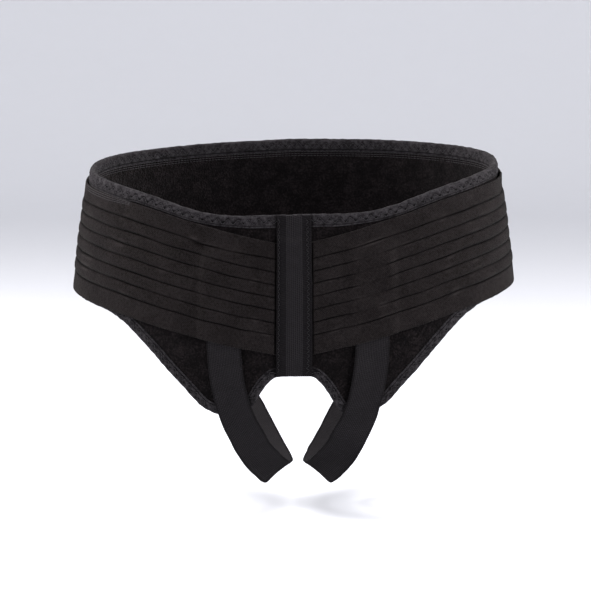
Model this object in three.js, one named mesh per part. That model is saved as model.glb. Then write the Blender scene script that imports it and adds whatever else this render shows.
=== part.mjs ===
// Inguinal hernia belt in its worn form, in millimetres, +Z up, the front towards -Y.
// A padded hip panel runs round the body and has two groin lobes with an arch between them. Tape binds its
// edges, a grooved elastic band is wrapped over it, a webbing strip closes the front, and two leg straps
// run from under the band, between the legs, to under the band at the back.
// Every piece lies on one smooth hip form. A place on it is "along", the distance round the form from the
// front centre (positive towards +X), "level", the height, and "height", the distance out from the skin.
import * as THREE from "three";

// The hips that the belt is shaped to.
const HIP_WIDTH = 380; // widest breadth of the hips
const HIP_FRONT = 109; // from the side line forward to the belly
const HIP_BACK = 130; // from the side line back to the seat
const HIP_SPAN = 140; // height that the levels in HIP_SECTIONS are shares of
const HIP_SQUARENESS = 2.35; // 2 is an ellipse, more is boxier

// Cloth, tape and webbing.
const PANEL_THICKNESS = 2.6;
const BINDING_THICKNESS = 0.8;
const TOP_BINDING_WIDTH = 11; // width that shows on each face of the panel
const LOWER_BINDING_WIDTH = 8.5;
const BAND_WIDTH = 93;
const BAND_THICKNESS = 1.8;
const GROOVE_COUNT = 7;
const GROOVE_WIDTH = 1.6;
const GROOVE_DEPTH = 0.8;
const BAND_TOP_MARGIN = 14; // plain elastic above the first groove
const BAND_BOTTOM_MARGIN = 16.5; // plain elastic below the last groove
const WEBBING_WIDTH = 30;
const WEBBING_THICKNESS = 1.5;
const LAYER_GAP = 0.3; // air between two layers that lie on each other
const FACET_ALLOWANCE = 0.15; // and more where their facets don't line up

// Where the band runs.
const BAND_FRONT_LEVEL = 4; // level of the band's middle line at the front centre
const BAND_RISE = 73; // how much higher that line is at the back
const STRIP_OVERLAP = 7; // each end of the band goes this far under the centre strip

// The outline of the hip panel.
const PANEL_TOP_RISE = 27; // its straight top edge at the front stands this far above the band
const PANEL_TOP_MARGIN = 9.5; // how far it stands above the band elsewhere
const PANEL_TOP_BLEND = 10; // height over which the first turns into the second
const PANEL_BOTTOM_MARGIN = 0.4; // how far it stands below the band at the sides and back
const ARCH_DROP = 16; // from the band's lower edge to the top of the arch between the lobes
const LOBE_DROP = 36; // from there to the lobes' lowest points
const LOBE_ALONG = 50; // the lobe's lowest point, from the centre line
const LOBE_END_ALONG = 165; // where the lobe's outer edge meets the band
const ARCH_MARGIN = 1.8; // arch's straight top, beyond the centre strip's edge

// The centre strip and the leg straps.
const STRIP_END_MARGIN = 1; // each end of the strip stops this far short of the binding's edge
const STRIP_RAMP = 9; // length over which the strip climbs onto the band
const STRAP_ALONG = 62; // front of a strap, from the centre line
const STRAP_BACK_ALONG = 86; // back of a strap, from the back centre line
const STRAP_TOP_MARGIN = 22; // its front end is hidden this far below the band's upper edge
const STRAP_BACK_TUCK = 24; // its back end is hidden this far above the band's lower edge
const CROTCH_DROP = 60; // from the lobes' lowest points to a strap's lowest point
const CROTCH_GAP = 3.5; // between the two straps there, if they lay flat
const WORN_SHIFT = 3.5; // both straps sit this much towards +X, as worn
const WORN_TILT = 7; // the belt's +X side sits this much higher than the other side, as worn
const LIFT_MARGIN = 8; // the band stays lifted this far beyond a strap's edge
const LIFT_RAMP = 12; // and comes back down over this length

// How finely the solids are made.
const ARCH_STEPS = 2; // stations from the front centre to the end of the arch's straight top
const LOBE_STEPS = 22; // from there to the lobe's outer end
const BACK_STEPS = 19; // and on to the back centre
const PANEL_ROWS = 6;
const BAND_INNER_ROWS = 5;
const STRAP_STEPS = 42;
const ARC_SAMPLES = 720;

// Levels and places that follow from the sizes.
const PANEL_TOP_LEVEL = BAND_FRONT_LEVEL + BAND_WIDTH / 2 + PANEL_TOP_RISE;
const ARCH_LEVEL = BAND_FRONT_LEVEL - BAND_WIDTH / 2 - ARCH_DROP;
const LOBE_LEVEL = ARCH_LEVEL - LOBE_DROP;
const CROTCH_ALONG = (WEBBING_WIDTH + CROTCH_GAP) / 2;
const ARCH_ALONG = WEBBING_WIDTH / 2 + ARCH_MARGIN;
const BAND_END_ALONG = WEBBING_WIDTH / 2 - STRIP_OVERLAP;

// Heights of the layers above the skin.
const PANEL_LOW = BINDING_THICKNESS + LAYER_GAP;
const PANEL_HIGH = PANEL_LOW + PANEL_THICKNESS;
const BINDING_OUTER_LOW = PANEL_HIGH + LAYER_GAP;
const BINDING_HIGH = BINDING_OUTER_LOW + BINDING_THICKNESS;
const OVER_GAP = LAYER_GAP + FACET_ALLOWANCE;
const BAND_LOW = BINDING_HIGH + OVER_GAP;
const BAND_HIGH = BAND_LOW + BAND_THICKNESS;
const BAND_LIFT = WEBBING_THICKNESS + OVER_GAP;
const STRAP_MIDDLE = BINDING_HIGH + OVER_GAP + WEBBING_THICKNESS / 2;
const STRIP_LOW_MIDDLE = STRAP_MIDDLE;
const STRIP_HIGH_MIDDLE = BAND_HIGH + OVER_GAP + WEBBING_THICKNESS / 2;

// Sections of the hips: level is a share of HIP_SPAN, the others are shares of the three hip sizes.
const HIP_SECTIONS = [
  { level: -1.2, width: 0.98, front: 0.5, back: 0.6 },
  { level: -0.8, width: 0.993, front: 0.78, back: 0.87 },
  { level: -0.5, width: 1.0, front: 0.908, back: 0.975 },
  { level: -0.2, width: 0.998, front: 0.975, back: 0.99 },
  { level: 0.1, width: 0.982, front: 1.0, back: 0.925 },
  { level: 0.45, width: 0.95, front: 0.99, back: 0.825 },
  { level: 0.8, width: 0.916, front: 0.965, back: 0.77 },
  { level: 1.2, width: 0.89, front: 0.94, back: 0.74 },
];

// The band's middle line: along is a share of half the girth, rise a share of BAND_RISE.
const BAND_RUN = [
  { along: 0, rise: 0 },
  { along: 0.1, rise: 0.15 },
  { along: 0.2, rise: 0.33 },
  { along: 0.3, rise: 0.52 },
  { along: 0.4, rise: 0.665 },
  { along: 0.5, rise: 0.765 },
  { along: 0.66, rise: 0.89 },
  { along: 0.84, rise: 0.97 },
  { along: 1, rise: 1 },
];

// The lobe's edge from the arch to its tip: along and drop are shares of the way to the tip.
const LOBE_INNER = [
  { along: 0, drop: 0 },
  { along: 0.25, drop: 0.24 },
  { along: 0.48, drop: 0.58 },
  { along: 0.68, drop: 0.86 },
  { along: 0.85, drop: 0.97 },
  { along: 1, drop: 1 },
];

// The lobe's edge from its tip to the band: drop is a share of the fall from the band's edge to the tip.
const LOBE_OUTER = [
  { along: 0, drop: 1 },
  { along: 0.12, drop: 0.94 },
  { along: 0.23, drop: 0.855 },
  { along: 0.34, drop: 0.67 },
  { along: 0.49, drop: 0.445 },
  { along: 0.62, drop: 0.268 },
  { along: 0.74, drop: 0.14 },
  { along: 0.87, drop: 0.045 },
  { along: 1, drop: 0 },
];

// A strap's runs on the body: down is a share of the fall from its end to the lobe's tip, out a share of
// its distance from the centre line.
const STRAP_FRONT_RUN = [
  { down: 0, out: 1 },
  { down: 0.3, out: 1 },
  { down: 0.55, out: 1 },
  { down: 0.75, out: 0.96 },
  { down: 0.9, out: 0.89 },
  { down: 1.03, out: 0.8 },
];
const STRAP_BACK_RUN = [
  { down: 0.92, out: 0.7 },
  { down: 0.69, out: 0.84 },
  { down: 0.45, out: 0.94 },
  { down: 0.22, out: 1 },
  { down: 0, out: 1 },
];

// A strap's run between the legs: out is a share of the way from its place at the crotch to STRAP_ALONG,
// fore a share of HIP_FRONT where it is negative and of HIP_BACK where it is positive, fall a share of
// CROTCH_DROP, and the face columns give the way that its outer face points.
const STRAP_UNDER_RUN = [
  { out: 0.6, fore: -0.83, fall: 0.32, faceIn: 0.12, faceFore: -0.9, faceDown: 0.43 },
  { out: 0.46, fore: -0.72, fall: 0.54, faceIn: 0.32, faceFore: -0.74, faceDown: 0.6 },
  { out: 0.26, fore: -0.53, fall: 0.765, faceIn: 0.5, faceFore: -0.5, faceDown: 0.7 },
  { out: 0.08, fore: -0.28, fall: 0.945, faceIn: 0.6, faceFore: -0.25, faceDown: 0.75 },
  { out: 0, fore: 0, fall: 1, faceIn: 0.64, faceFore: 0, faceDown: 0.77 },
  { out: 0.06, fore: 0.235, fall: 0.955, faceIn: 0.6, faceFore: 0.25, faceDown: 0.75 },
  { out: 0.26, fore: 0.47, fall: 0.755, faceIn: 0.45, faceFore: 0.52, faceDown: 0.72 },
  { out: 0.56, fore: 0.705, fall: 0.4, faceIn: 0.22, faceFore: 0.78, faceDown: 0.56 },
];

// A smooth curve through a table's rows that never overshoots them, as a function of the first column.
function through(rows, from, to, fromSize = 1, toSize = 1) {
  const x = rows.map((row) => row[from] * fromSize);
  const y = rows.map((row) => row[to] * toSize);
  const slope = y.slice(1).map((value, i) => (value - y[i]) / (x[i + 1] - x[i]));
  const tangent = y.map((_, i) => {
    if (i === 0 || i === y.length - 1) return slope[Math.min(i, slope.length - 1)];
    const before = slope[i - 1];
    const after = slope[i];
    return before * after <= 0 ? 0 : (2 * before * after) / (before + after);
  });
  return (at) => {
    const clamped = Math.min(Math.max(at, x[0]), x[x.length - 1]);
    let i = 0;
    while (i < x.length - 2 && clamped > x[i + 1]) i += 1;
    const width = x[i + 1] - x[i];
    const t = (clamped - x[i]) / width;
    const rise = y[i + 1] - y[i];
    const bend = tangent[i] * width;
    const bendAfter = tangent[i + 1] * width;
    return y[i] + t * (bend + t * (3 * rise - 2 * bend - bendAfter + t * (bend + bendAfter - 2 * rise)));
  };
}

const smoothStep = (t) => THREE.MathUtils.smoothstep(t, 0, 1);
const lerp = THREE.MathUtils.lerp;

// The larger of two values, with a rounded change from one to the other.
function softMax(a, b, blend) {
  const t = THREE.MathUtils.clamp(0.5 + (a - b) / (2 * blend), 0, 1);
  return lerp(b, a, t) + (blend / 2) * t * (1 - t);
}

// The hip form.
const halfWidthAt = through(HIP_SECTIONS, "level", "width", HIP_SPAN, HIP_WIDTH / 2);
const frontAt = through(HIP_SECTIONS, "level", "front", HIP_SPAN, HIP_FRONT);
const backAt = through(HIP_SECTIONS, "level", "back", HIP_SPAN, HIP_BACK);

function hipPoint(turn, level) {
  const power = 2 / HIP_SQUARENESS;
  const side = Math.sin(turn);
  const fore = Math.cos(turn);
  const depth = fore > 0 ? frontAt(level) : backAt(level);
  return new THREE.Vector3(
    halfWidthAt(level) * Math.sign(side) * Math.abs(side) ** power,
    -depth * Math.sign(fore) * Math.abs(fore) ** power,
    level,
  );
}

function hipNormal(point) {
  const level = point.z;
  const depthAt = point.y < 0 ? frontAt : backAt;
  const width = halfWidthAt(level);
  const depth = depthAt(level);
  const widthSlope = halfWidthAt(level + 0.5) - halfWidthAt(level - 0.5);
  const depthSlope = depthAt(level + 0.5) - depthAt(level - 0.5);
  const acrossShare = Math.abs(point.x / width);
  const foreShare = Math.abs(point.y / depth);
  return new THREE.Vector3(
    (Math.sign(point.x) * acrossShare ** (HIP_SQUARENESS - 1)) / width,
    (Math.sign(point.y) * foreShare ** (HIP_SQUARENESS - 1)) / depth,
    -(acrossShare ** HIP_SQUARENESS * widthSlope) / width -
      (foreShare ** HIP_SQUARENESS * depthSlope) / depth,
  ).normalize();
}

// Lengths round the form, measured at the band's front level, from the front centre to the back centre.
const arcLengths = [0];
for (let i = 1; i <= ARC_SAMPLES; i += 1) {
  const before = hipPoint((Math.PI * (i - 1)) / ARC_SAMPLES, BAND_FRONT_LEVEL);
  const here = hipPoint((Math.PI * i) / ARC_SAMPLES, BAND_FRONT_LEVEL);
  arcLengths.push(arcLengths[i - 1] + before.distanceTo(here));
}
const HALF_GIRTH = arcLengths[ARC_SAMPLES];

function turnAt(along) {
  const length = Math.min(Math.abs(along), HALF_GIRTH);
  let low = 0;
  let high = ARC_SAMPLES;
  while (high - low > 1) {
    const middle = (low + high) >> 1;
    if (arcLengths[middle] > length) high = middle;
    else low = middle;
  }
  const share = (length - arcLengths[low]) / (arcLengths[high] - arcLengths[low]);
  return (Math.sign(along) * Math.PI * (low + share)) / ARC_SAMPLES;
}

function onHips(along, level, height) {
  const skin = hipPoint(turnAt(along), level);
  return skin.clone().addScaledVector(hipNormal(skin), height);
}

// The outlines, as levels at a place along the form.
const bandRiseAt = through(BAND_RUN, "along", "rise", HALF_GIRTH, BAND_RISE);
const wornTilt = (along) => (WORN_TILT / 2) * Math.sin((Math.PI * along) / HALF_GIRTH);
const bandMiddle = (along) => BAND_FRONT_LEVEL + bandRiseAt(Math.abs(along)) + wornTilt(along);
const bandSlope = (along) => bandMiddle(along + 0.5) - bandMiddle(along - 0.5);

// Half the band's width, measured straight up on the slanting band.
const bandReach = (along) => (BAND_WIDTH / 2) * Math.hypot(1, bandSlope(along));
const bandTop = (along) => bandMiddle(along) + bandReach(along);
const bandBottom = (along) => bandMiddle(along) - bandReach(along);

const panelTop = (along) =>
  softMax(PANEL_TOP_LEVEL + wornTilt(along), bandTop(along) + PANEL_TOP_MARGIN, PANEL_TOP_BLEND);

const lobeInnerDrop = through(LOBE_INNER, "along", "drop");
const lobeOuterDrop = through(LOBE_OUTER, "along", "drop");

function panelBottom(along) {
  const away = Math.abs(along);
  const tilt = wornTilt(along);
  const inner = (away - ARCH_ALONG) / (LOBE_ALONG - ARCH_ALONG);
  if (inner < 1) return lerp(ARCH_LEVEL, LOBE_LEVEL, lobeInnerDrop(inner)) + tilt;
  const outer = (away - LOBE_ALONG) / (LOBE_END_ALONG - LOBE_ALONG);
  return lerp(bandBottom(along) - PANEL_BOTTOM_MARGIN, LOBE_LEVEL + tilt, lobeOuterDrop(outer));
}

// Stations from one place to another, spaced evenly along the panel's lower edge.
function evenStations(from, to, steps) {
  const samples = 400;
  const placeAt = (i) => lerp(from, to, i / samples);
  const lengths = [0];
  for (let i = 1; i <= samples; i += 1) {
    const fall = panelBottom(placeAt(i)) - panelBottom(placeAt(i - 1));
    lengths.push(lengths[i - 1] + Math.hypot((to - from) / samples, fall));
  }
  return Array.from({ length: steps }, (_, step) => {
    const wanted = (lengths[samples] * (step + 1)) / steps;
    const k = Math.min(lengths.findIndex((length) => length >= wanted - 1e-9), samples);
    return placeAt(k - 1 + (wanted - lengths[k - 1]) / (lengths[k] - lengths[k - 1]));
  });
}

// Stations round the whole form, from just past the back centre round to the back centre.
function ringStations() {
  const half = [
    ...evenStations(0, ARCH_ALONG, ARCH_STEPS),
    ...evenStations(ARCH_ALONG, LOBE_END_ALONG, LOBE_STEPS),
    ...evenStations(LOBE_END_ALONG, HALF_GIRTH, BACK_STEPS),
  ];
  const mirrored = half.slice(0, -1).reverse().map((along) => -along);
  return [...mirrored, 0, ...half];
}
const RING = ringStations();

// A closed solid from sections that all have the same number of points. A run with two ends is capped
// by the triangles of its flat outline; a ring joins its last section to its first.
function solidThrough(sections, flatOutline) {
  const size = sections[0].length;
  const ring = !flatOutline;
  const corners = sections.flat();
  const faces = [];
  const last = ring ? sections.length : sections.length - 1;
  for (let i = 0; i < last; i += 1) {
    const next = (i + 1) % sections.length;
    for (let k = 0; k < size; k += 1) {
      const after = (k + 1) % size;
      const a = i * size + k;
      const b = i * size + after;
      const c = next * size + after;
      const d = next * size + k;
      faces.push([a, b, c], [a, c, d]);
    }
  }
  if (!ring) {
    const end = (sections.length - 1) * size;
    const turn = THREE.ShapeUtils.isClockWise(flatOutline) ? -1 : 1;
    for (const [a, b, c] of THREE.ShapeUtils.triangulateShape(flatOutline, [])) {
      faces.push(turn > 0 ? [a, c, b] : [a, b, c]);
      faces.push(turn > 0 ? [end + a, end + b, end + c] : [end + a, end + c, end + b]);
    }
  }
  const volume = faces.reduce((sum, [a, b, c]) => {
    const cross = new THREE.Vector3().crossVectors(corners[b], corners[c]);
    return sum + corners[a].dot(cross);
  }, 0);
  const outward = volume > 0 ? faces : faces.map(([a, b, c]) => [a, c, b]);
  const geometry = new THREE.BufferGeometry().setFromPoints(corners);
  geometry.setIndex(outward.flat());
  geometry.computeVertexNormals();
  return geometry;
}

// A row of shares from 0 to 1.
const shares = (count) => Array.from({ length: count }, (_, i) => i / (count - 1));

// The crosswise directions at the corners of a path, long enough to keep the width at each corner.
function mitres(path) {
  const directions = path.slice(1).map((point, i) => point.clone().sub(path[i]).normalize());
  return path.map((_, i) => {
    const before = directions[Math.max(i - 1, 0)];
    const after = directions[Math.min(i, directions.length - 1)];
    const across = new THREE.Vector2(-before.y - after.y, before.x + after.x).normalize();
    return across.divideScalar(across.dot(new THREE.Vector2(-after.y, after.x)));
  });
}

// Places beside an edge that runs round the form, for each station. Beyond is measured across the edge,
// upwards when away is 1 and downwards when it is -1.
function besideEdge(edgeLevel, away) {
  const edge = RING.map((along) => new THREE.Vector2(along, edgeLevel(along)));
  const girth = new THREE.Vector2(2 * HALF_GIRTH, 0);
  const before = edge[edge.length - 1].clone().sub(girth);
  const after = edge[0].clone().add(girth);
  const across = mitres([before, ...edge, after]).slice(1, -1);
  return (i, beyond) => edge[i].clone().addScaledVector(across[i], away * beyond);
}
const besideTop = besideEdge(panelTop, 1);
const besideBottom = besideEdge(panelBottom, -1);
const BINDING_TIP = LAYER_GAP + BINDING_THICKNESS;

function panelGeometry() {
  const sections = RING.map((_, i) => {
    const bottom = besideBottom(i, BINDING_TIP - LOWER_BINDING_WIDTH);
    const top = besideTop(i, BINDING_TIP - TOP_BINDING_WIDTH);
    const between = shares(PANEL_ROWS).map((t) => bottom.clone().lerp(top, t));
    const line = [besideBottom(i, 0), ...between, besideTop(i, 0)];
    const face = (height) => line.map((place) => onHips(place.x, place.y, height));
    return [...face(PANEL_HIGH), ...face(PANEL_LOW).reverse()];
  });
  return solidThrough(sections);
}

// A folded tape round an edge of the panel.
function bindingGeometry(beside, width) {
  const legEnd = BINDING_TIP - width;
  const fold = [
    { beyond: legEnd, height: BINDING_HIGH },
    { beyond: BINDING_TIP, height: BINDING_HIGH },
    { beyond: BINDING_TIP, height: 0 },
    { beyond: legEnd, height: 0 },
    { beyond: legEnd, height: BINDING_THICKNESS },
    { beyond: LAYER_GAP, height: BINDING_THICKNESS },
    { beyond: LAYER_GAP, height: BINDING_OUTER_LOW },
    { beyond: legEnd, height: BINDING_OUTER_LOW },
  ];
  const sections = RING.map((_, i) =>
    fold.map(({ beyond, height }) => {
      const place = beside(i, beyond);
      return onHips(place.x, place.y, height);
    }),
  );
  return solidThrough(sections);
}

// How far the band is lifted off the panel by the straps under it.
function bandLift(along) {
  const straps = [
    STRAP_ALONG + WORN_SHIFT,
    -STRAP_ALONG + WORN_SHIFT,
    HALF_GIRTH - STRAP_BACK_ALONG - WORN_SHIFT,
    -HALF_GIRTH + STRAP_BACK_ALONG - WORN_SHIFT,
  ];
  const nearest = Math.min(...straps.map((strap) => Math.abs(along - strap)));
  const beyond = nearest - WEBBING_WIDTH / 2 - LIFT_MARGIN;
  return BAND_LIFT * (1 - smoothStep(beyond / LIFT_RAMP));
}

// The band's flat section: across runs from its lower edge to its upper edge, height from its inner face.
function bandOutline() {
  const half = BAND_WIDTH / 2;
  const pitch = (BAND_WIDTH - BAND_TOP_MARGIN - BAND_BOTTOM_MARGIN) / (GROOVE_COUNT - 1);
  const outline = [{ across: -half, height: BAND_THICKNESS }];
  for (let i = 0; i < GROOVE_COUNT; i += 1) {
    const middle = -half + BAND_BOTTOM_MARGIN + i * pitch;
    outline.push({ across: middle - GROOVE_WIDTH / 2, height: BAND_THICKNESS });
    outline.push({ across: middle, height: BAND_THICKNESS - GROOVE_DEPTH });
    outline.push({ across: middle + GROOVE_WIDTH / 2, height: BAND_THICKNESS });
  }
  outline.push({ across: half, height: BAND_THICKNESS });
  for (const t of shares(BAND_INNER_ROWS)) outline.push({ across: lerp(half, -half, t), height: 0 });
  return outline;
}

function bandGeometry() {
  const outline = bandOutline();
  const rightSide = RING.filter((along) => along > BAND_END_ALONG + 1);
  const leftSide = RING.filter((along) => along < -BAND_END_ALONG - 1);
  const stations = [BAND_END_ALONG, ...rightSide, ...leftSide, -BAND_END_ALONG];
  const sections = stations.map((along) => {
    const stretch = Math.hypot(1, bandSlope(along));
    const low = BAND_LOW + bandLift(along);
    return outline.map(({ across, height }) =>
      onHips(along, bandMiddle(along) + across * stretch, low + height),
    );
  });
  return solidThrough(sections, outline.map(({ across, height }) => new THREE.Vector2(across, height)));
}

// The two faces of a ribbon of webbing whose middle line is a path of level and height.
function ribbonFaces(path, thickness) {
  const across = mitres(path);
  return path.map((point, i) => [
    point.clone().addScaledVector(across[i], thickness / 2),
    point.clone().addScaledVector(across[i], -thickness / 2),
  ]);
}

// The strip's middle line, from the arch up the front and over the band to the top edge.
function stripPath() {
  const top = panelTop(0) + BINDING_TIP - STRIP_END_MARGIN;
  const bottom = panelBottom(0) - BINDING_TIP + STRIP_END_MARGIN;
  const bandHigh = bandTop(WEBBING_WIDTH / 2);
  const bandLow = bandBottom(-BAND_END_ALONG);
  const middleHeight = (STRIP_HIGH_MIDDLE + STRIP_LOW_MIDDLE) / 2;
  const climb = (edge, way) => [
    new THREE.Vector2(edge + way * (LAYER_GAP + STRIP_RAMP), STRIP_LOW_MIDDLE),
    new THREE.Vector2(edge + way * (LAYER_GAP + STRIP_RAMP / 2), middleHeight),
    new THREE.Vector2(edge + way * LAYER_GAP, STRIP_HIGH_MIDDLE),
  ];
  const overBand = shares(6).slice(1, -1).map((t) => lerp(bandLow, bandHigh, t));
  return [
    new THREE.Vector2(bottom, STRIP_LOW_MIDDLE),
    ...climb(bandLow, -1),
    ...overBand.map((level) => new THREE.Vector2(level, STRIP_HIGH_MIDDLE)),
    ...climb(bandHigh, 1).reverse(),
    new THREE.Vector2(top, STRIP_LOW_MIDDLE),
  ];
}

function stripGeometry() {
  const half = WEBBING_WIDTH / 2;
  const columns = [-half, 0, half];
  const sections = ribbonFaces(stripPath(), WEBBING_THICKNESS).map(([one, other]) => [
    ...columns.map((along) => onHips(along, one.x, one.y)),
    ...[...columns].reverse().map((along) => onHips(along, other.x, other.y)),
  ]);
  return solidThrough(sections, webbingOutline());
}

function webbingOutline() {
  const half = WEBBING_WIDTH / 2;
  const thin = WEBBING_THICKNESS / 2;
  return [
    new THREE.Vector2(-half, thin),
    new THREE.Vector2(0, thin),
    new THREE.Vector2(half, thin),
    new THREE.Vector2(half, -thin),
    new THREE.Vector2(0, -thin),
    new THREE.Vector2(-half, -thin),
  ];
}

// A place where a strap lies on the body, with the way it faces and how much its edges bend back.
function strapOnBody(along, level) {
  const half = WEBBING_WIDTH / 2;
  const middle = onHips(along, level, STRAP_MIDDLE);
  const face = hipNormal(hipPoint(turnAt(along), level));
  const edges = onHips(along + half, level, STRAP_MIDDLE).add(onHips(along - half, level, STRAP_MIDDLE));
  const bend = middle.clone().sub(edges.multiplyScalar(0.5)).dot(face);
  return { middle, face, bend };
}

function strapPlaces(side) {
  const frontAlong = side * STRAP_ALONG + WORN_SHIFT;
  const backAlong = side * (HALF_GIRTH - STRAP_BACK_ALONG) - WORN_SHIFT;
  const frontTop = bandTop(frontAlong) - STRAP_TOP_MARGIN;
  const backTop = bandBottom(backAlong) + STRAP_BACK_TUCK;
  const front = STRAP_FRONT_RUN.map(({ down, out }) =>
    strapOnBody(side * STRAP_ALONG * out + WORN_SHIFT, lerp(frontTop, LOBE_LEVEL, down)),
  );
  const back = STRAP_BACK_RUN.map(({ down, out }) => {
    const along = side * (HALF_GIRTH - STRAP_BACK_ALONG * out) - WORN_SHIFT;
    return strapOnBody(along, lerp(backTop, LOBE_LEVEL, down));
  });
  const under = STRAP_UNDER_RUN.map(({ out, fore, fall, faceIn, faceFore, faceDown }) => ({
    middle: new THREE.Vector3(
      side * lerp(CROTCH_ALONG, STRAP_ALONG, out) + WORN_SHIFT,
      fore * (fore < 0 ? HIP_FRONT : HIP_BACK),
      LOBE_LEVEL - CROTCH_DROP * fall,
    ),
    face: new THREE.Vector3(-side * faceIn, faceFore, -faceDown).normalize(),
    bend: 0,
  }));
  return [...front, ...under, ...back];
}

function strapGeometry(side) {
  const places = strapPlaces(side);
  const curve = (points) => new THREE.CatmullRomCurve3(points, false, "centripetal");
  const uniform = (points) => new THREE.CatmullRomCurve3(points, false, "catmullrom", 0.5);
  const line = curve(places.map((place) => place.middle));
  const faces = uniform(places.map((place) => place.face));
  const bends = uniform(places.map((place) => new THREE.Vector3(place.bend, 0, 0)));
  const half = WEBBING_WIDTH / 2;
  const thin = WEBBING_THICKNESS / 2;
  const sections = shares(STRAP_STEPS + 1).map((share) => {
    const t = line.getUtoTmapping(share);
    const forward = line.getTangent(t);
    const middle = line.getPoint(t);
    const across = new THREE.Vector3().crossVectors(faces.getPoint(t), forward).normalize();
    const face = new THREE.Vector3().crossVectors(forward, across);
    const bend = bends.getPoint(t).x;
    return webbingOutline().map(({ x, y }) => {
      const height = Math.sign(y) * thin - bend * (x / half) ** 2;
      return middle.clone().addScaledVector(across, x).addScaledVector(face, height);
    });
  });
  return solidThrough(sections, webbingOutline());
}

// Finishes, as seen on the real cloths.
const plush = new THREE.MeshStandardMaterial({ color: 0x171416, roughness: 1, metalness: 0 });
const tape = new THREE.MeshStandardMaterial({ color: 0x2d2a2e, roughness: 0.85, metalness: 0 });
const elastic = new THREE.MeshStandardMaterial({ color: 0x222021, roughness: 0.8, metalness: 0 });
const webbing = new THREE.MeshStandardMaterial({ color: 0x232326, roughness: 0.7, metalness: 0 });

function named(name, geometry, material) {
  const mesh = new THREE.Mesh(geometry, material);
  mesh.name = name;
  return mesh;
}

const belt = new THREE.Group();
belt.name = "hernia_belt";
belt.add(
  named("hip_panel", panelGeometry(), plush),
  named("top_binding", bindingGeometry(besideTop, TOP_BINDING_WIDTH), tape),
  named("lower_binding", bindingGeometry(besideBottom, LOWER_BINDING_WIDTH), tape),
  named("elastic_band", bandGeometry(), elastic),
  named("centre_strip", stripGeometry(), webbing),
  named("leg_strap_left", strapGeometry(-1), webbing),
  named("leg_strap_right", strapGeometry(1), webbing),
);

export default belt;
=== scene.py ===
"""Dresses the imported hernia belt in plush, tape, elastic, webbing and thread, and sets its stage."""

import math

import bpy
import numpy as np
from bpy.props import FloatProperty, FloatVectorProperty, IntProperty, PointerProperty
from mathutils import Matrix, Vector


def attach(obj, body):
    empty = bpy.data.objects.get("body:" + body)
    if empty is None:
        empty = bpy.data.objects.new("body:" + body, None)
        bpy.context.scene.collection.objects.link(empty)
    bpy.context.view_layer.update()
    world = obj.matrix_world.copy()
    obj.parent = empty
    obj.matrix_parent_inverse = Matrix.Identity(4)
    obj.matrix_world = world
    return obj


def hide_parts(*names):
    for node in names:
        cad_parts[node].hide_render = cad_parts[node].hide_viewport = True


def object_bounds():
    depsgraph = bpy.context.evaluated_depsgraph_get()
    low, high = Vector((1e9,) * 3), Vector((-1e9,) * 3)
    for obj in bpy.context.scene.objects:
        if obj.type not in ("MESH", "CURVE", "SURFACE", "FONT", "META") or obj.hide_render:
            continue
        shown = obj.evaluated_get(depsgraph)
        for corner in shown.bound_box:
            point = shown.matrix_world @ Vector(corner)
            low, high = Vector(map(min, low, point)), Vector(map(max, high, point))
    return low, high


bl_info = {
    "name": "Hernia Belt",
    "version": (1, 0, 0),
    "blender": (4, 5, 0),
    "location": "View3D > Sidebar > Belt",
    "description": "Cloth, webbing, stitching and stage for a hernia belt",
    "category": "Object",
}

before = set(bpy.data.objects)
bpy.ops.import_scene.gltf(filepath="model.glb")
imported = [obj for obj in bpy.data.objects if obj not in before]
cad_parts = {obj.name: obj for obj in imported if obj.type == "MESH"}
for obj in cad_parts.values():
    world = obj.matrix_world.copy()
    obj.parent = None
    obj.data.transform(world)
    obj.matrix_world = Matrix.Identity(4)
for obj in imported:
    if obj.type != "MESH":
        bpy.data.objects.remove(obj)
CAD_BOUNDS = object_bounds()
# How finely the curves that the pieces follow are measured, and how far to each side their slopes are.
GIRTH_SAMPLES = 2880
EDGE_SAMPLES = 4000
STRAP_SAMPLES = 4001
SLOPE_REACH = 0.0005

# Spacing of the stations along each cloth.
PITCH = {
    "panel": 0.0026,
    "tape": 0.0012,
    "band": 0.0021,
    "band_end": 0.0006,
    "strip": 0.00055,
    "strap": 0.0024,
}

# Points across the outer face and the inner face of each cloth.
COLUMNS = {"panel": (70, 50), "tape": (22, 8), "band": (46, 20), "strip": (110, 24), "strap": (126, 40)}

# Sections of the hips: level is a share of the hip span, the others are shares of the three hip sizes.
HIP_SECTIONS = (
    {"level": -1.2, "width": 0.98, "front": 0.5, "back": 0.6},
    {"level": -0.8, "width": 0.993, "front": 0.78, "back": 0.87},
    {"level": -0.5, "width": 1.0, "front": 0.908, "back": 0.975},
    {"level": -0.2, "width": 0.998, "front": 0.975, "back": 0.99},
    {"level": 0.1, "width": 0.982, "front": 1.0, "back": 0.925},
    {"level": 0.45, "width": 0.95, "front": 0.99, "back": 0.825},
    {"level": 0.8, "width": 0.916, "front": 0.965, "back": 0.77},
    {"level": 1.2, "width": 0.89, "front": 0.94, "back": 0.74},
)

# The band's middle line: along is a share of half the girth, rise a share of the band's rise.
BAND_RUN = (
    {"along": 0.0, "rise": 0.0},
    {"along": 0.1, "rise": 0.15},
    {"along": 0.2, "rise": 0.33},
    {"along": 0.3, "rise": 0.52},
    {"along": 0.4, "rise": 0.665},
    {"along": 0.5, "rise": 0.765},
    {"along": 0.66, "rise": 0.89},
    {"along": 0.84, "rise": 0.97},
    {"along": 1.0, "rise": 1.0},
)

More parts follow.
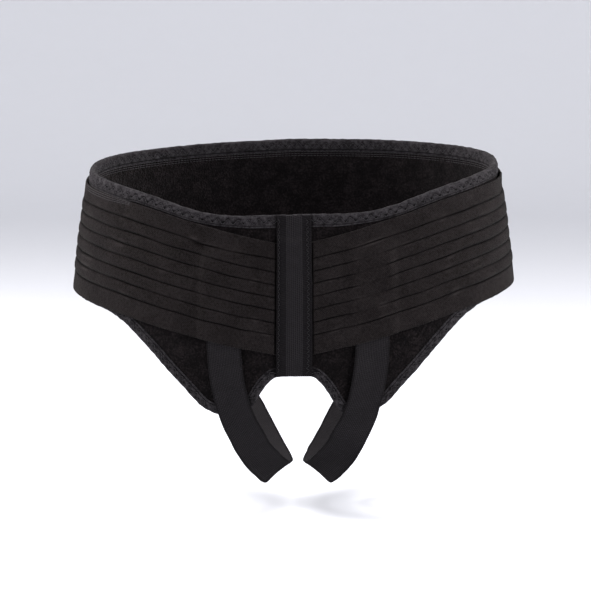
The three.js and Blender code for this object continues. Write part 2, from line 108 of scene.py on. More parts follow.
# The lobe's edge from the arch to its tip, as shares of the way there.
LOBE_INNER = (
    {"along": 0.0, "drop": 0.0},
    {"along": 0.25, "drop": 0.24},
    {"along": 0.48, "drop": 0.58},
    {"along": 0.68, "drop": 0.86},
    {"along": 0.85, "drop": 0.97},
    {"along": 1.0, "drop": 1.0},
)

# The lobe's edge from its tip to the band: drop is a share of the fall from the band's edge to the tip.
LOBE_OUTER = (
    {"along": 0.0, "drop": 1.0},
    {"along": 0.12, "drop": 0.94},
    {"along": 0.23, "drop": 0.855},
    {"along": 0.34, "drop": 0.67},
    {"along": 0.49, "drop": 0.445},
    {"along": 0.62, "drop": 0.268},
    {"along": 0.74, "drop": 0.14},
    {"along": 0.87, "drop": 0.045},
    {"along": 1.0, "drop": 0.0},
)

# A strap's runs on the body: down is a share of the fall from its end to the lobe's tip, out a share of
# its distance from the centre line.
STRAP_FRONT_RUN = (
    {"down": 0.0, "out": 1.0},
    {"down": 0.3, "out": 1.0},
    {"down": 0.55, "out": 1.0},
    {"down": 0.75, "out": 0.96},
    {"down": 0.9, "out": 0.89},
    {"down": 1.03, "out": 0.8},
)
STRAP_BACK_RUN = (
    {"down": 0.92, "out": 0.7},
    {"down": 0.69, "out": 0.84},
    {"down": 0.45, "out": 0.94},
    {"down": 0.22, "out": 1.0},
    {"down": 0.0, "out": 1.0},
)

# A strap's run between the legs, with the way that its outer face points.
STRAP_UNDER_RUN = (
    {"out": 0.6, "fore": -0.83, "fall": 0.32, "face_in": 0.12, "face_fore": -0.9, "face_down": 0.43},
    {"out": 0.46, "fore": -0.72, "fall": 0.54, "face_in": 0.32, "face_fore": -0.74, "face_down": 0.6},
    {"out": 0.26, "fore": -0.53, "fall": 0.765, "face_in": 0.5, "face_fore": -0.5, "face_down": 0.7},
    {"out": 0.08, "fore": -0.28, "fall": 0.945, "face_in": 0.6, "face_fore": -0.25, "face_down": 0.75},
    {"out": 0.0, "fore": 0.0, "fall": 1.0, "face_in": 0.64, "face_fore": 0.0, "face_down": 0.77},
    {"out": 0.06, "fore": 0.235, "fall": 0.955, "face_in": 0.6, "face_fore": 0.25, "face_down": 0.75},
    {"out": 0.26, "fore": 0.47, "fall": 0.755, "face_in": 0.45, "face_fore": 0.52, "face_down": 0.72},
    {"out": 0.56, "fore": 0.705, "fall": 0.4, "face_in": 0.22, "face_fore": 0.78, "face_down": 0.56},
)

# Three-step zigzag of one period: a needle hole every 1/6 of it, across as a share of half the width.
THREE_STEP_ZIGZAG = (-1.0, -1 / 3, 1 / 3, 1.0, 1 / 3, -1 / 3)
PLAIN_ZIGZAG = (-1.0, 1.0)

# How a zigzag draws the cloth in: the width of the line along its thread, and the pit inside each corner,
# with its half sizes and how far inside the corner it lies.
TAPE_PINCH = {"line": 0.0007, "along": 0.0017, "across": 0.0014, "inset": 0.0007}
WEBBING_PINCH = {"line": 0.0005, "along": 0.001, "across": 0.001, "inset": 0.0004}

# A stitch: where along it the cuts lie that let it bend, and its thickness at the ends, its arch and how
# deep it sinks as shares of the thread's. gap is the share of its length left free at each needle hole.
STITCH = {"cuts": (-0.3, 0.0, 0.3), "end": 0.72, "arch": 0.62, "sink": 0.3, "gap": 0.04}

# The two zigzag rows of the centre strip: on which side, how far in from that edge, and how wide.
STRIP_ROWS = (
    {"side": -1, "inset": 0.0019, "width": 0.0017},
    {"side": 1, "inset": 0.0034, "width": 0.0026},
)

# Rows of points beside a groove's middle, as shares of its width.
GROOVE_STEPS = (0.125, 0.26, 0.44, 0.625, 0.94, 1.375)

# Heights of the panel's two faces where it is plump, and of their two kinds of unevenness.
PANEL_RELIEF = {
    "outer": {"plump": 0.00045, "soft": 0.00022, "pile": 0.00022},
    "inner": {"plump": 0.0004, "soft": 0.0002, "pile": 0.00022},
}

# Heights on the tapes, and how much painted shade darkens the places that the thread or the strip presses in,
# which in the pits also stands for the needle holes.
TAPE_RELIEF = {"plump": 0.00045, "pucker": 0.0002, "stitches": 0.00085, "lip": 0.0003, "strip": 0.0004}
TAPE_SHADE_AND_HOLES = {"line": 0.45, "pit": 0.9, "strip": 0.9}

# Heights on the elastic band apart from its grooves, pillows and crease.
BAND_RELIEF = {"slack": 0.00028, "slack_ripple": 0.00024, "fine": 0.00007, "shoulder": 0.0001}

# The crease on the band, from its place on the top groove: where each part's middle lies along and up, how
# far it reaches both ways, and how it leans. The fold is a dip that also carries painted shade, the crest a
# painted highlight.
CREASE = {
    "ridge": {"along": 0.003, "up": 0.0012, "long": 0.009, "tall": 0.0024, "lean": 0.0},
    "fold_and_shade": {"along": 0.004, "up": -0.0016, "long": 0.0075, "tall": 0.0019, "lean": 0.3},
    "crest_highlight": {"along": 0.001, "up": 0.0012, "long": 0.003, "tall": 0.0011, "lean": 0.0},
}

# Unevenness of the cloths: the longest and the shortest wave, the number of waves, and the first seed.
RIPPLES = {
    "panel": {"longest": 0.05, "shortest": 0.012, "count": 26, "seed": 11},
    "pile": {"longest": 0.006, "shortest": 0.0035, "count": 40, "seed": 12},
    "tape_pucker": {"longest": 0.007, "shortest": 0.003, "count": 30, "seed": 21},
    "tape_edge": {"longest": 0.02, "shortest": 0.006, "count": 26, "seed": 31},
    "groove_fade": {"longest": 0.12, "shortest": 0.03, "count": 12, "seed": 40},
    "groove_wander": {"longest": 0.09, "shortest": 0.03, "count": 10, "seed": 60},
    "band_slack": {"longest": 0.11, "shortest": 0.035, "count": 26, "seed": 77},
    "band_fine": {"longest": 0.016, "shortest": 0.006, "count": 34, "seed": 78},
    "band_highlights": {"longest": 0.05, "shortest": 0.012, "count": 26, "seed": 79},
    "strip_edge": {"longest": 0.06, "shortest": 0.012, "count": 26, "seed": 91},
    "strip_face": {"longest": 0.04, "shortest": 0.01, "count": 26, "seed": 92},
    "strap_face": {"longest": 0.05, "shortest": 0.012, "count": 26, "seed": 101},
    "strap_edge": {"longest": 0.07, "shortest": 0.015, "count": 26, "seed": 103},
}

# The webbing's waves meet themselves only after this length, which is more than any strip or strap has.
STRIP_REPEAT = 0.3
STRAP_REPEAT = 0.6

# Camera sensor in millimetres, the light of the room, and the floor's mesh.
SENSOR_WIDTH = 36.0
SKY_COLOUR = (0.9, 0.91, 0.95, 1.0)
FLOOR_POINTS = {"around": 97, "outwards": 61}
WALL_RUN = 6.0  # length of the bend and the wall beyond the floor's radius

# Lamps: place, size, share of the key power and colour.
LAMPS = (
    {"name": "key", "place": (1.7, -2.0, 1.7), "size": 0.9, "share": 1.0, "colour": (1.0, 0.985, 0.97)},
    {"name": "low", "place": (1.5, -2.2, 0.15), "size": 0.6, "share": 0.5, "colour": (0.95, 0.97, 1.0)},
    {"name": "fill", "place": (-2.0, -2.1, 1.0), "size": 1.4, "share": 0.3, "colour": (0.98, 0.98, 1.0)},
    {"name": "top", "place": (0.0, 0.2, 2.6), "size": 1.8, "share": 0.5, "colour": (1.0, 1.0, 1.0)},
    {"name": "rim_left", "place": (-2.5, 0.3, 1.4), "size": 1.2, "share": 5.4, "colour": (1.0, 0.99, 0.98)},
    {"name": "rim_right", "place": (2.5, 0.3, 1.4), "size": 1.2, "share": 3.5, "colour": (1.0, 0.99, 0.98)},
)


def length_prop(name, description, default):
    return FloatProperty(
        name=name, description=description, default=default, min=0.0, unit="LENGTH", precision=5
    )


def level_prop(name, description, default):
    return FloatProperty(name=name, description=description, default=default, unit="LENGTH", precision=5)


def colour_prop(name, description, default):
    return FloatVectorProperty(
        name=name, description=description, default=default, min=0.0, max=1.0, subtype="COLOR"
    )


class BeltSizes(bpy.types.PropertyGroup):
    """Sizes of the belt: those of the solid parts, then those of the detail that only the scene has."""

    hip_width: length_prop("Hip Width", "Widest breadth of the hips", 0.38)
    hip_front: length_prop("Hip Front", "From the side line forward to the belly", 0.109)
    hip_back: length_prop("Hip Back", "From the side line back to the seat", 0.13)
    hip_span: length_prop("Hip Span", "Height that the levels of the hip sections are shares of", 0.14)
    hip_squareness: FloatProperty(
        name="Hip Squareness", description="2 is an ellipse, more is boxier", default=2.35, min=1.5, max=4.0
    )
    panel_thickness: length_prop("Panel Thickness", "Padded plush of the hip panel", 0.0026)
    binding_thickness: length_prop("Tape Thickness", "One layer of the binding tape", 0.0008)
    top_binding_width: length_prop("Top Tape Width", "Width that shows on each face", 0.011)
    lower_binding_width: length_prop("Lower Tape Width", "Width that shows on each face", 0.0085)
    band_width: length_prop("Band Width", "Width of the elastic", 0.093)
    band_thickness: length_prop("Band Thickness", "Thickness of the elastic", 0.0018)
    groove_count: IntProperty(name="Grooves", description="Grooves in the elastic", default=7, min=2, max=12)
    groove_width: length_prop("Groove Width", "Width of a groove at the surface", 0.0016)
    groove_depth: length_prop("Groove Depth", "Depth of a groove", 0.0008)
    band_top_margin: length_prop("Band Top Margin", "Plain elastic above the grooves", 0.014)
    band_bottom_margin: length_prop("Band Bottom Margin", "Plain elastic below the grooves", 0.0165)
    webbing_width: length_prop("Webbing Width", "Width of the strip and the straps", 0.03)
    webbing_thickness: length_prop("Webbing Thickness", "Thickness of the strip and the straps", 0.0015)
    layer_gap: length_prop("Layer Gap", "Air between two layers", 0.0003)
    facet_allowance: length_prop("Facet Allowance", "More air where two layers aren't parallel", 0.00015)
    band_front_level: level_prop("Band Front Level", "The band's middle line at the front", 0.004)
    band_rise: length_prop("Band Rise", "How much higher the band is at the back", 0.073)
    strip_overlap: length_prop("Strip Overlap", "Length of band under the centre strip", 0.007)
    panel_top_rise: length_prop("Panel Top Rise", "The panel's top above the band at the front", 0.027)
    panel_top_margin: length_prop("Panel Top Margin", "The panel's top above the band elsewhere", 0.0095)
    panel_top_blend: length_prop("Panel Top Blend", "Height over which the one becomes the other", 0.01)
    panel_bottom_margin: length_prop("Panel Bottom Margin", "The panel's edge below the band", 0.0004)
    arch_drop: length_prop("Arch Drop", "From the band's lower edge to the arch", 0.016)
    lobe_drop: length_prop("Lobe Drop", "From the arch to the lobes' lowest points", 0.036)
    lobe_along: length_prop("Lobe Place", "The lobes' lowest points, from the centre line", 0.05)
    lobe_end_along: length_prop("Lobe End", "Where a lobe's outer edge meets the band", 0.165)
    arch_margin: length_prop("Arch Margin", "The arch's straight top beyond the strip", 0.0018)
    edge_rounding: length_prop("Edge Rounding", "How much the panel's corners are rounded", 0.0022)
    strip_end_margin: length_prop("Strip End Margin", "The strip stops this far short of the tape", 0.001)
    strip_ramp: length_prop("Strip Ramp", "Length over which the strip climbs onto the band", 0.009)
    strap_along: length_prop("Strap Place", "Front of a strap, from the centre line", 0.062)
    strap_back_along: length_prop("Strap Back Place", "Back of a strap, from the centre line", 0.086)
    strap_top_margin: length_prop("Strap Top Margin", "The strap's end below the band's top edge", 0.022)
    strap_back_tuck: length_prop("Strap Back Tuck", "Length of strap under the band at the back", 0.024)
    crotch_drop: length_prop("Crotch Drop", "From the lobes to the straps' lowest points", 0.06)
    crotch_gap: length_prop("Crotch Gap", "Between the straps there, if they lay flat", 0.0035)
    worn_shift: level_prop("Worn Shift", "How far the straps sit towards +X", 0.0035)
    worn_tilt: level_prop("Worn Tilt", "How much higher the +X side sits", 0.007)
    tape_zigzag_period: length_prop("Tape Zigzag", "Period of the zigzag on the tape", 0.009)
    tape_zigzag_width: length_prop("Tape Zigzag Width", "Width of the zigzag on the tape", 0.0046)
    strip_zigzag_period: length_prop("Strip Zigzag", "Period of the zigzag on the strip", 0.0044)
    seam_stitch: length_prop("Seam Stitch", "Length of a straight stitch", 0.0031)
    thread: length_prop("Thread", "Thickness of the sewing thread", 0.00042)
    strip_rib_pitch: length_prop("Strip Rib Pitch", "Spacing of the ribs of the centre strip", 0.0016)
    strip_rib_zone: length_prop("Strip Rib Zone", "Width of its ribbed middle", 0.0146)
    strap_rib_pitch: length_prop("Strap Rib Pitch", "Spacing of the ribs of the leg straps", 0.00145)
    rib_depth: length_prop("Rib Depth", "Height of a rib", 0.0004)
    top_tape_gap: length_prop("Top Tape Gap", "The top tape's outer edge stops short by this", 0.0015)
    pillow_height: length_prop("Pillow Height", "Height of the elastic between two grooves", 0.0004)
    strap_lift: length_prop("Strap Lift", "How far a strap's inner edge stands off the groin", 0.0034)
    band_curl: length_prop("Band Curl", "How far the band's free top edge stands off", 0.0009)
    crease_height: length_prop("Crease Height", "Height of the small crease left of the strip", 0.0024)
    crease_along: level_prop("Crease Place", "The crease, from the centre line", -0.0875)
    lift_margin: length_prop("Lift Margin", "The band stays lifted this far beside a strap", 0.0012)
    lift_ramp: length_prop("Lift Ramp", "Length over which it comes down there", 0.008)
    lift_end_margin: length_prop("Lift End Margin", "The band stays lifted this far above an end", 0.0015)
    lift_end_ramp: length_prop("Lift End Ramp", "Height over which it comes down there", 0.009)
    # The streak is a painted highlight on the top groove's shoulder.
    highlight_streak_along: level_prop("Streak Place", "The worn streak on the top groove, from the centre line", 0.069)
    sewn_from: length_prop("Sewn From", "Where the band's top edge is sewn down on the left", 0.149)
    sewn_to: length_prop("Sewn To", "Where the band's top edge is free again on the right", 0.24)


class BeltColours(bpy.types.PropertyGroup):
    """Colours of the cloths, as linear values."""

    plush: colour_prop("Plush", "Pile of the hip panel", (0.0021, 0.0016, 0.0017))
    plush_tip: colour_prop("Plush Tips", "Ends of the pile that catch the light", (0.0128, 0.01, 0.0104))
    tape: colour_prop("Tape", "Binding tape", (0.0195, 0.0178, 0.0192))
    elastic: colour_prop("Elastic", "Elastic band", (0.0107, 0.0091, 0.009))
    webbing: colour_prop("Webbing", "Centre strip and leg straps", (0.0085, 0.0078, 0.0084))
    thread: colour_prop("Thread", "Sewing thread", (0.041, 0.038, 0.0405))
    floor: colour_prop("Floor", "Floor and backdrop", (0.47, 0.475, 0.505))


class BeltStage(bpy.types.PropertyGroup):
    """The floor, the light and the camera."""

    floor_drop: length_prop("Floor Drop", "From the belt's lowest point to the floor", 0.02)
    floor_radius: length_prop("Floor Radius", "From the middle to where the floor curves up", 4.2)
    wall_bend: length_prop("Wall Bend", "Radius of the curve from floor to wall", 1.5)
    glow_from: length_prop("Glow From", "From the middle to where the floor begins to glow", 0.8)
    wall_glow: FloatProperty(name="Wall Glow", description="Light from the wall itself", default=0.45)
    room_light: FloatProperty(name="Room Light", description="Strength of the soft room light", default=0.32)
    key_power: FloatProperty(name="Key Light", description="Power of one share", default=43.0, unit="POWER")
    elevation: FloatProperty(name="Elevation", description="Camera's height angle in degrees", default=5.0)
    distance: length_prop("Distance", "From the camera to the middle of the belt", 3.0)
    view_width: length_prop("View Width", "Width of the picture at the middle of the belt", 0.5218)
    aim_x: level_prop("Aim", "Where the camera points, towards +X", 0.0013)


def through(rows, from_column, to_column, from_size=1.0, to_size=1.0):
    """A smooth curve through a table's rows that never overshoots them."""
    x = np.array([row[from_column] for row in rows]) * from_size
    y = np.array([row[to_column] for row in rows]) * to_size
    width = np.diff(x)
    slope = np.diff(y) / width
    product = slope[:-1] * slope[1:]
    total = np.where(product > 0, slope[:-1] + slope[1:], 1.0)
    tangent = np.concatenate([slope[:1], np.where(product > 0, 2 * product / total, 0.0), slope[-1:]])

    def curve(at):
        at = np.clip(at, x[0], x[-1])
        i = np.clip(np.searchsorted(x, at, side="right") - 1, 0, len(width) - 1)
        t = (at - x[i]) / width[i]
        rise = y[i + 1] - y[i]
        bend = tangent[i] * width[i]
        bend_after = tangent[i + 1] * width[i]
        square, cube = 3 * rise - 2 * bend - bend_after, bend + bend_after - 2 * rise
        return y[i] + t * (bend + t * (square + t * cube))

    return curve


def smooth_step(t):
    t = np.clip(t, 0.0, 1.0)
    return t * t * (3 - 2 * t)


def ramp(value, start, length):
    """0 up to the start and 1 from a length beyond it, with a smooth rise between."""
    return smooth_step((value - start) / length)


def fall(value, end, length):
    """1 up to a length before the end and 0 from the end on, with a smooth fall between."""
    return smooth_step((end - value) / length)


def bell(away, width):
    """1 in the middle, and next to nothing beyond twice the width."""
    return np.exp(-((away / width) ** 2))


def soft_max(a, b, blend):
    """The larger of two values, with a rounded change from one to the other."""
    t = np.clip(0.5 + (a - b) / (2 * blend), 0, 1)
    return b + (a - b) * t + (blend / 2) * t * (1 - t)


def unit(vectors):
    return vectors / np.maximum(np.linalg.norm(vectors, axis=-1, keepdims=True), 1e-12)


def ripple(u, v, girth, kind, nth=0):
    """Gentle unevenness of cloth, from about -1 to 1, that meets itself after one girth."""
    row = RIPPLES[kind]
    pick = np.random.default_rng(row["seed"] + nth)
    total = 0.0
    for _ in range(row["count"]):
        wavelength = row["longest"] * (row["shortest"] / row["longest"]) ** pick.random()
        turn = pick.random() * math.tau
        round_waves = round(girth * math.cos(turn) / wavelength)
        up_waves = math.sin(turn) / wavelength
        total = total + np.sin(math.tau * (round_waves * u / girth + up_waves * v + pick.random()))
    return total / math.sqrt(row["count"])


class HipForm:
    """The hips that every cloth lies on. A place on them is along, level and height."""

    def __init__(self, sizes):
        self.squareness = sizes.hip_squareness
        span = sizes.hip_span
        self.half_width = through(HIP_SECTIONS, "level", "width", span, sizes.hip_width / 2)
        self.front = through(HIP_SECTIONS, "level", "front", span, sizes.hip_front)
        self.back = through(HIP_SECTIONS, "level", "back", span, sizes.hip_back)
        self.turns = np.linspace(0, math.pi, GIRTH_SAMPLES + 1)
        ring = self.skin(self.turns, np.full_like(self.turns, sizes.band_front_level))
        steps = np.linalg.norm(np.diff(ring, axis=0), axis=1)
        self.arc = np.concatenate([[0.0], np.cumsum(steps)])
        self.half_girth = self.arc[-1]
        self.girth = 2 * self.half_girth

    def skin(self, turn, level):
        power = 2 / self.squareness
        side, fore = np.sin(turn), np.cos(turn)
        depth = np.where(fore > 0, self.front(level), self.back(level))
        x = self.half_width(level) * np.sign(side) * np.abs(side) ** power
        y = -depth * np.sign(fore) * np.abs(fore) ** power
        return np.stack([x, y, level + 0.0 * x], axis=-1)

    def normal(self, point):
        x, y, level = point[..., 0], point[..., 1], point[..., 2]
        half = SLOPE_REACH
        ahead = y < 0

        def depth_at(at):
            return np.where(ahead, self.front(at), self.back(at))

        width, depth = self.half_width(level), depth_at(level)
        width_slope = (self.half_width(level + half) - self.half_width(level - half)) / (2 * half)
        depth_slope = (depth_at(level + half) - depth_at(level - half)) / (2 * half)
        across, fore = np.abs(x / width), np.abs(y / depth)
        power = self.squareness
        up = -(across**power) * width_slope / width - (fore**power) * depth_slope / depth
        return unit(
            np.stack(
                [np.sign(x) * across ** (power - 1) / width, np.sign(y) * fore ** (power - 1) / depth, up],
                axis=-1,
            )
        )

    def turn(self, along):
        return np.sign(along) * np.interp(np.abs(along), self.arc, self.turns)

    def lay(self, along, level, height=0.0):
        """Places in the room for places on the hips."""
        along, level, height = np.broadcast_arrays(*(np.asarray(a, float) for a in (along, level, height)))
        skin = self.skin(self.turn(along), level)
        return skin + self.normal(skin) * height[..., None]

    def face(self, along, level):
        along, level = np.broadcast_arrays(np.asarray(along, float), np.asarray(level, float))
        return self.normal(self.skin(self.turn(along), level))


class Pattern:
    """The cutting pattern: outlines as levels along the hips, and the heights of the layers."""

    def __init__(self, sizes):
        self.sizes = sizes
        self.hips = HipForm(sizes)
        gap = sizes.layer_gap
        over = gap + sizes.facet_allowance
        self.panel_low = sizes.binding_thickness + gap
        self.panel_high = self.panel_low + sizes.panel_thickness
        self.tape_low = self.panel_high + gap
        self.tape_high = self.tape_low + sizes.binding_thickness
        self.band_low = self.tape_high + over
        self.band_high = self.band_low + sizes.band_thickness
        self.band_lift_height = sizes.webbing_thickness + over
        self.strap_middle = self.tape_high + over + sizes.webbing_thickness / 2
        self.strip_high = self.band_high + over + sizes.webbing_thickness / 2
        self.tape_tip = gap + sizes.binding_thickness
        self.panel_top_level = sizes.band_front_level + sizes.band_width / 2 + sizes.panel_top_rise
        self.arch_level = sizes.band_front_level - sizes.band_width / 2 - sizes.arch_drop
        self.lobe_level = self.arch_level - sizes.lobe_drop
        self.arch_along = sizes.webbing_width / 2 + sizes.arch_margin
        self.band_end = sizes.webbing_width / 2 - sizes.strip_overlap
        self.rise = through(BAND_RUN, "along", "rise", self.hips.half_girth, sizes.band_rise)
        self.lobe_inner = through(LOBE_INNER, "along", "drop")
        self.lobe_outer = through(LOBE_OUTER, "along", "drop")

    def tilt(self, along):
        return self.sizes.worn_tilt / 2 * np.sin(math.pi * along / self.hips.half_girth)

    def band_middle(self, along):
        return self.sizes.band_front_level + self.rise(np.abs(along)) + self.tilt(along)

    def band_stretch(self, along):
        """Length of a straight rise across the slanting band, for each unit of its width."""
        half = SLOPE_REACH
        slope = (self.band_middle(along + half) - self.band_middle(along - half)) / (2 * half)
        return np.hypot(1, slope)

    def band_top(self, along):
        return self.band_middle(along) + self.sizes.band_width / 2 * self.band_stretch(along)

    def band_bottom(self, along):
        return self.band_middle(along) - self.sizes.band_width / 2 * self.band_stretch(along)

    def panel_top(self, along):
        straight = self.panel_top_level + self.tilt(along)
        above_band = self.band_top(along) + self.sizes.panel_top_margin
        return soft_max(straight, above_band, self.sizes.panel_top_blend)

    def panel_bottom(self, along):
        away = np.abs(along)
        tilt = self.tilt(along)
        inner = (away - self.arch_along) / (self.sizes.lobe_along - self.arch_along)
        outer = (away - self.sizes.lobe_along) / (self.sizes.lobe_end_along - self.sizes.lobe_along)
        arch_side = self.arch_level - self.sizes.lobe_drop * self.lobe_inner(inner) + tilt
        rest = self.band_bottom(along) - self.sizes.panel_bottom_margin
        lobe_side = rest + (self.lobe_level + tilt - rest) * self.lobe_outer(outer)
        return np.where(inner < 1, arch_side, lobe_side)

    def strap_front(self, side):
        return side * self.sizes.strap_along + self.sizes.worn_shift

    def strap_back(self, side):
        return side * (self.hips.half_girth - self.sizes.strap_back_along) - self.sizes.worn_shift

    def strap_ends(self, side):
        """(along, level) of a strap's front end and back end, both under the band."""
        front, back = self.strap_front(side), self.strap_back(side)
        return (
            (front, self.band_top(front) - self.sizes.strap_top_margin),
            (back, self.band_bottom(back) + self.sizes.strap_back_tuck),
        )

    def band_lift(self, along, level):
        """How far the band is raised by the strap ends under it."""
        edge = self.sizes.webbing_width / 2 + self.sizes.lift_margin
        lift = 0.0
        for place, end in (*self.strap_ends(-1), *self.strap_ends(1)):
            beside = 1 - ramp(np.abs(along - place), edge, self.sizes.lift_ramp)
            below = 1 - ramp(level, end + self.sizes.lift_end_margin, self.sizes.lift_end_ramp)
            lift = np.maximum(lift, beside * below)
        return self.band_lift_height * lift


class PanelEdge:
    """An edge of the panel as a fine line round the hips, with places beside it."""

    def __init__(self, pattern, level_at, away):
        girth = pattern.hips.girth
        count = EDGE_SAMPLES
        step = girth / count
        self.along = (np.arange(count + 1) - count / 2) * step
        level = level_at(self.along)
        reach = int(3 * pattern.sizes.edge_rounding / step) + 1
        weights = np.exp(-((np.arange(-reach, reach + 1) * step / pattern.sizes.edge_rounding) ** 2) / 2)
        wrapped = np.concatenate([level[-reach - 1 : -1], level, level[1 : reach + 1]])
        self.level = np.convolve(wrapped, weights / weights.sum(), mode="valid")
        self.level[-1] = self.level[0]
        slope = np.gradient(self.level, step)
        slope[0] = slope[-1] = 0.0
        length = np.hypot(1, slope)
        self.across = np.stack([-slope / length, 1 / length], axis=-1) * away
        run = np.hypot(np.diff(self.along), np.diff(self.level))
        self.distance = np.concatenate([[0.0], np.cumsum(run)])
        self.length = self.distance[-1]

    def stations(self, pitch):
        """Distances along the edge, evenly spaced, from the back centre round to it again."""
        return np.linspace(0, self.length, int(round(self.length / pitch)) + 1)

    def beside(self, distance, beyond):
        """(along, level) of places beyond the edge, measured across it."""
        distance, beyond = np.broadcast_arrays(np.asarray(distance, float), np.asarray(beyond, float))
        along = np.interp(distance, self.distance, self.along)
        level = np.interp(distance, self.distance, self.level)
        across = [np.interp(distance, self.distance, self.across[:, i]) for i in (0, 1)]
        return along + across[0] * beyond, level + across[1] * beyond

    def level_at(self, along):
        return np.interp(along, self.along, self.level)


def clean_selection():
    if bpy.context.object is not None and bpy.context.object.mode != "OBJECT":
        bpy.ops.object.mode_set(mode="OBJECT")
    bpy.ops.object.select_all(action="DESELECT")


def cloth_from_grid(name, places, run, round_it, material, soft_angle=50, shades=None):
    """A closed skin from a grid: rows are stations along the cloth, columns go once round its section.
    run and round_it are the distances along and round the cloth, for the weave. shades are values for
    each place, which the material reads by name."""
    rows, columns = places.shape[:2]
    clean_selection()
    bpy.ops.mesh.primitive_grid_add(x_subdivisions=columns - 1, y_subdivisions=rows - 1, size=1)
    piece = bpy.context.object
    piece.name = name
    mesh = piece.data
    mesh.name = name
    if len(mesh.vertices) != rows * columns:
        raise RuntimeError(f"{name}: the grid has {len(mesh.vertices)} points, not {rows * columns}")
    mesh.vertices.foreach_set("co", places.reshape(-1).astype(np.float32))
    corners = np.empty(len(mesh.loops), np.int32)
    mesh.loops.foreach_get("vertex_index", corners)
    cloth = np.stack(np.broadcast_arrays(run, round_it, places[..., 0])[:2], axis=-1).reshape(-1, 2)
    mesh.uv_layers[0].data.foreach_set("uv", cloth[corners].reshape(-1).astype(np.float32))
    mesh.uv_layers[0].name = "cloth"
    for shade, values in (shades or {}).items():
        attribute = mesh.attributes.new(name=shade, type="FLOAT", domain="POINT")
        values = np.broadcast_to(values, (rows, columns)).reshape(-1)
        attribute.data.foreach_set("value", values.astype(np.float32))
    bpy.ops.object.mode_set(mode="EDIT")
    bpy.ops.mesh.select_all(action="SELECT")
    bpy.ops.mesh.remove_doubles(threshold=2e-6)
    bpy.ops.mesh.select_all(action="SELECT")
    bpy.ops.mesh.fill_holes(sides=0)
    bpy.ops.mesh.select_all(action="SELECT")
    bpy.ops.mesh.normals_make_consistent(inside=False)
    bpy.ops.object.mode_set(mode="OBJECT")
    bpy.ops.object.shade_smooth_by_angle(angle=math.radians(soft_angle))
    mesh.materials.clear()
    mesh.materials.append(material)
    return piece


def round_the_edge(across, low, high, steps=5):
    """Points of a half round from the outer face to the inner one, at the end that across is."""
    middle, radius = (low + high) / 2, (high - low) / 2
    side = np.sign(across)
    turns = np.linspace(0, math.pi, steps + 2)[1:-1]
    return [(across - side * radius * (1 - math.sin(t)), middle + radius * math.cos(t)) for t in turns]


def outline_length(outline):
    steps = np.hypot(np.diff(outline[:, 0]), np.diff(outline[:, 1]))
    return np.concatenate([[0.0], np.cumsum(steps)])


def webbing_outline(sizes, columns, relief):
    """Section of a ribbed webbing: across and height from its middle, once round and closed. Its ribs are
    flatter on the inner face."""
    half, radius, flatter = sizes.webbing_width / 2, sizes.webbing_thickness / 2, 0.4
    face = np.linspace(-half + radius, half - radius, columns[0])
    back = np.linspace(half - radius, -half + radius, columns[1])
    outer = np.column_stack([face, radius + relief(face)])
    inner = np.column_stack([back, -radius - flatter * relief(back)])
    right_edge = round_the_edge(half, -radius, radius)
    left_edge = round_the_edge(-half, -radius, radius)[::-1]
    return np.concatenate([outer, right_edge, inner, left_edge, outer[:1]])


def stitch_shape():
    """One stitch, from a cylinder: (share along it, two shares of the thread's radius) and its faces."""
    clean_selection()
    bpy.ops.mesh.primitive_cylinder_add(vertices=6, radius=1, depth=1, end_fill_type="TRIFAN")
    shape = bpy.context.object
    bpy.ops.object.mode_set(mode="EDIT")
    for share in STITCH["cuts"]:
        bpy.ops.mesh.select_all(action="SELECT")
        bpy.ops.mesh.bisect(plane_co=(0, 0, share), plane_no=(0, 0, 1))
    bpy.ops.object.mode_set(mode="OBJECT")
    points = np.array([v.co[:] for v in shape.data.vertices])
    faces = [tuple(f.vertices) for f in shape.data.polygons]
    bpy.data.objects.remove(shape, do_unlink=True)
    narrow = np.where(np.abs(points[:, 2]) > 0.45, STITCH["end"], 1.0)
    return points[:, 2] + 0.5, points[:, 0] * narrow, points[:, 1] * narrow, faces


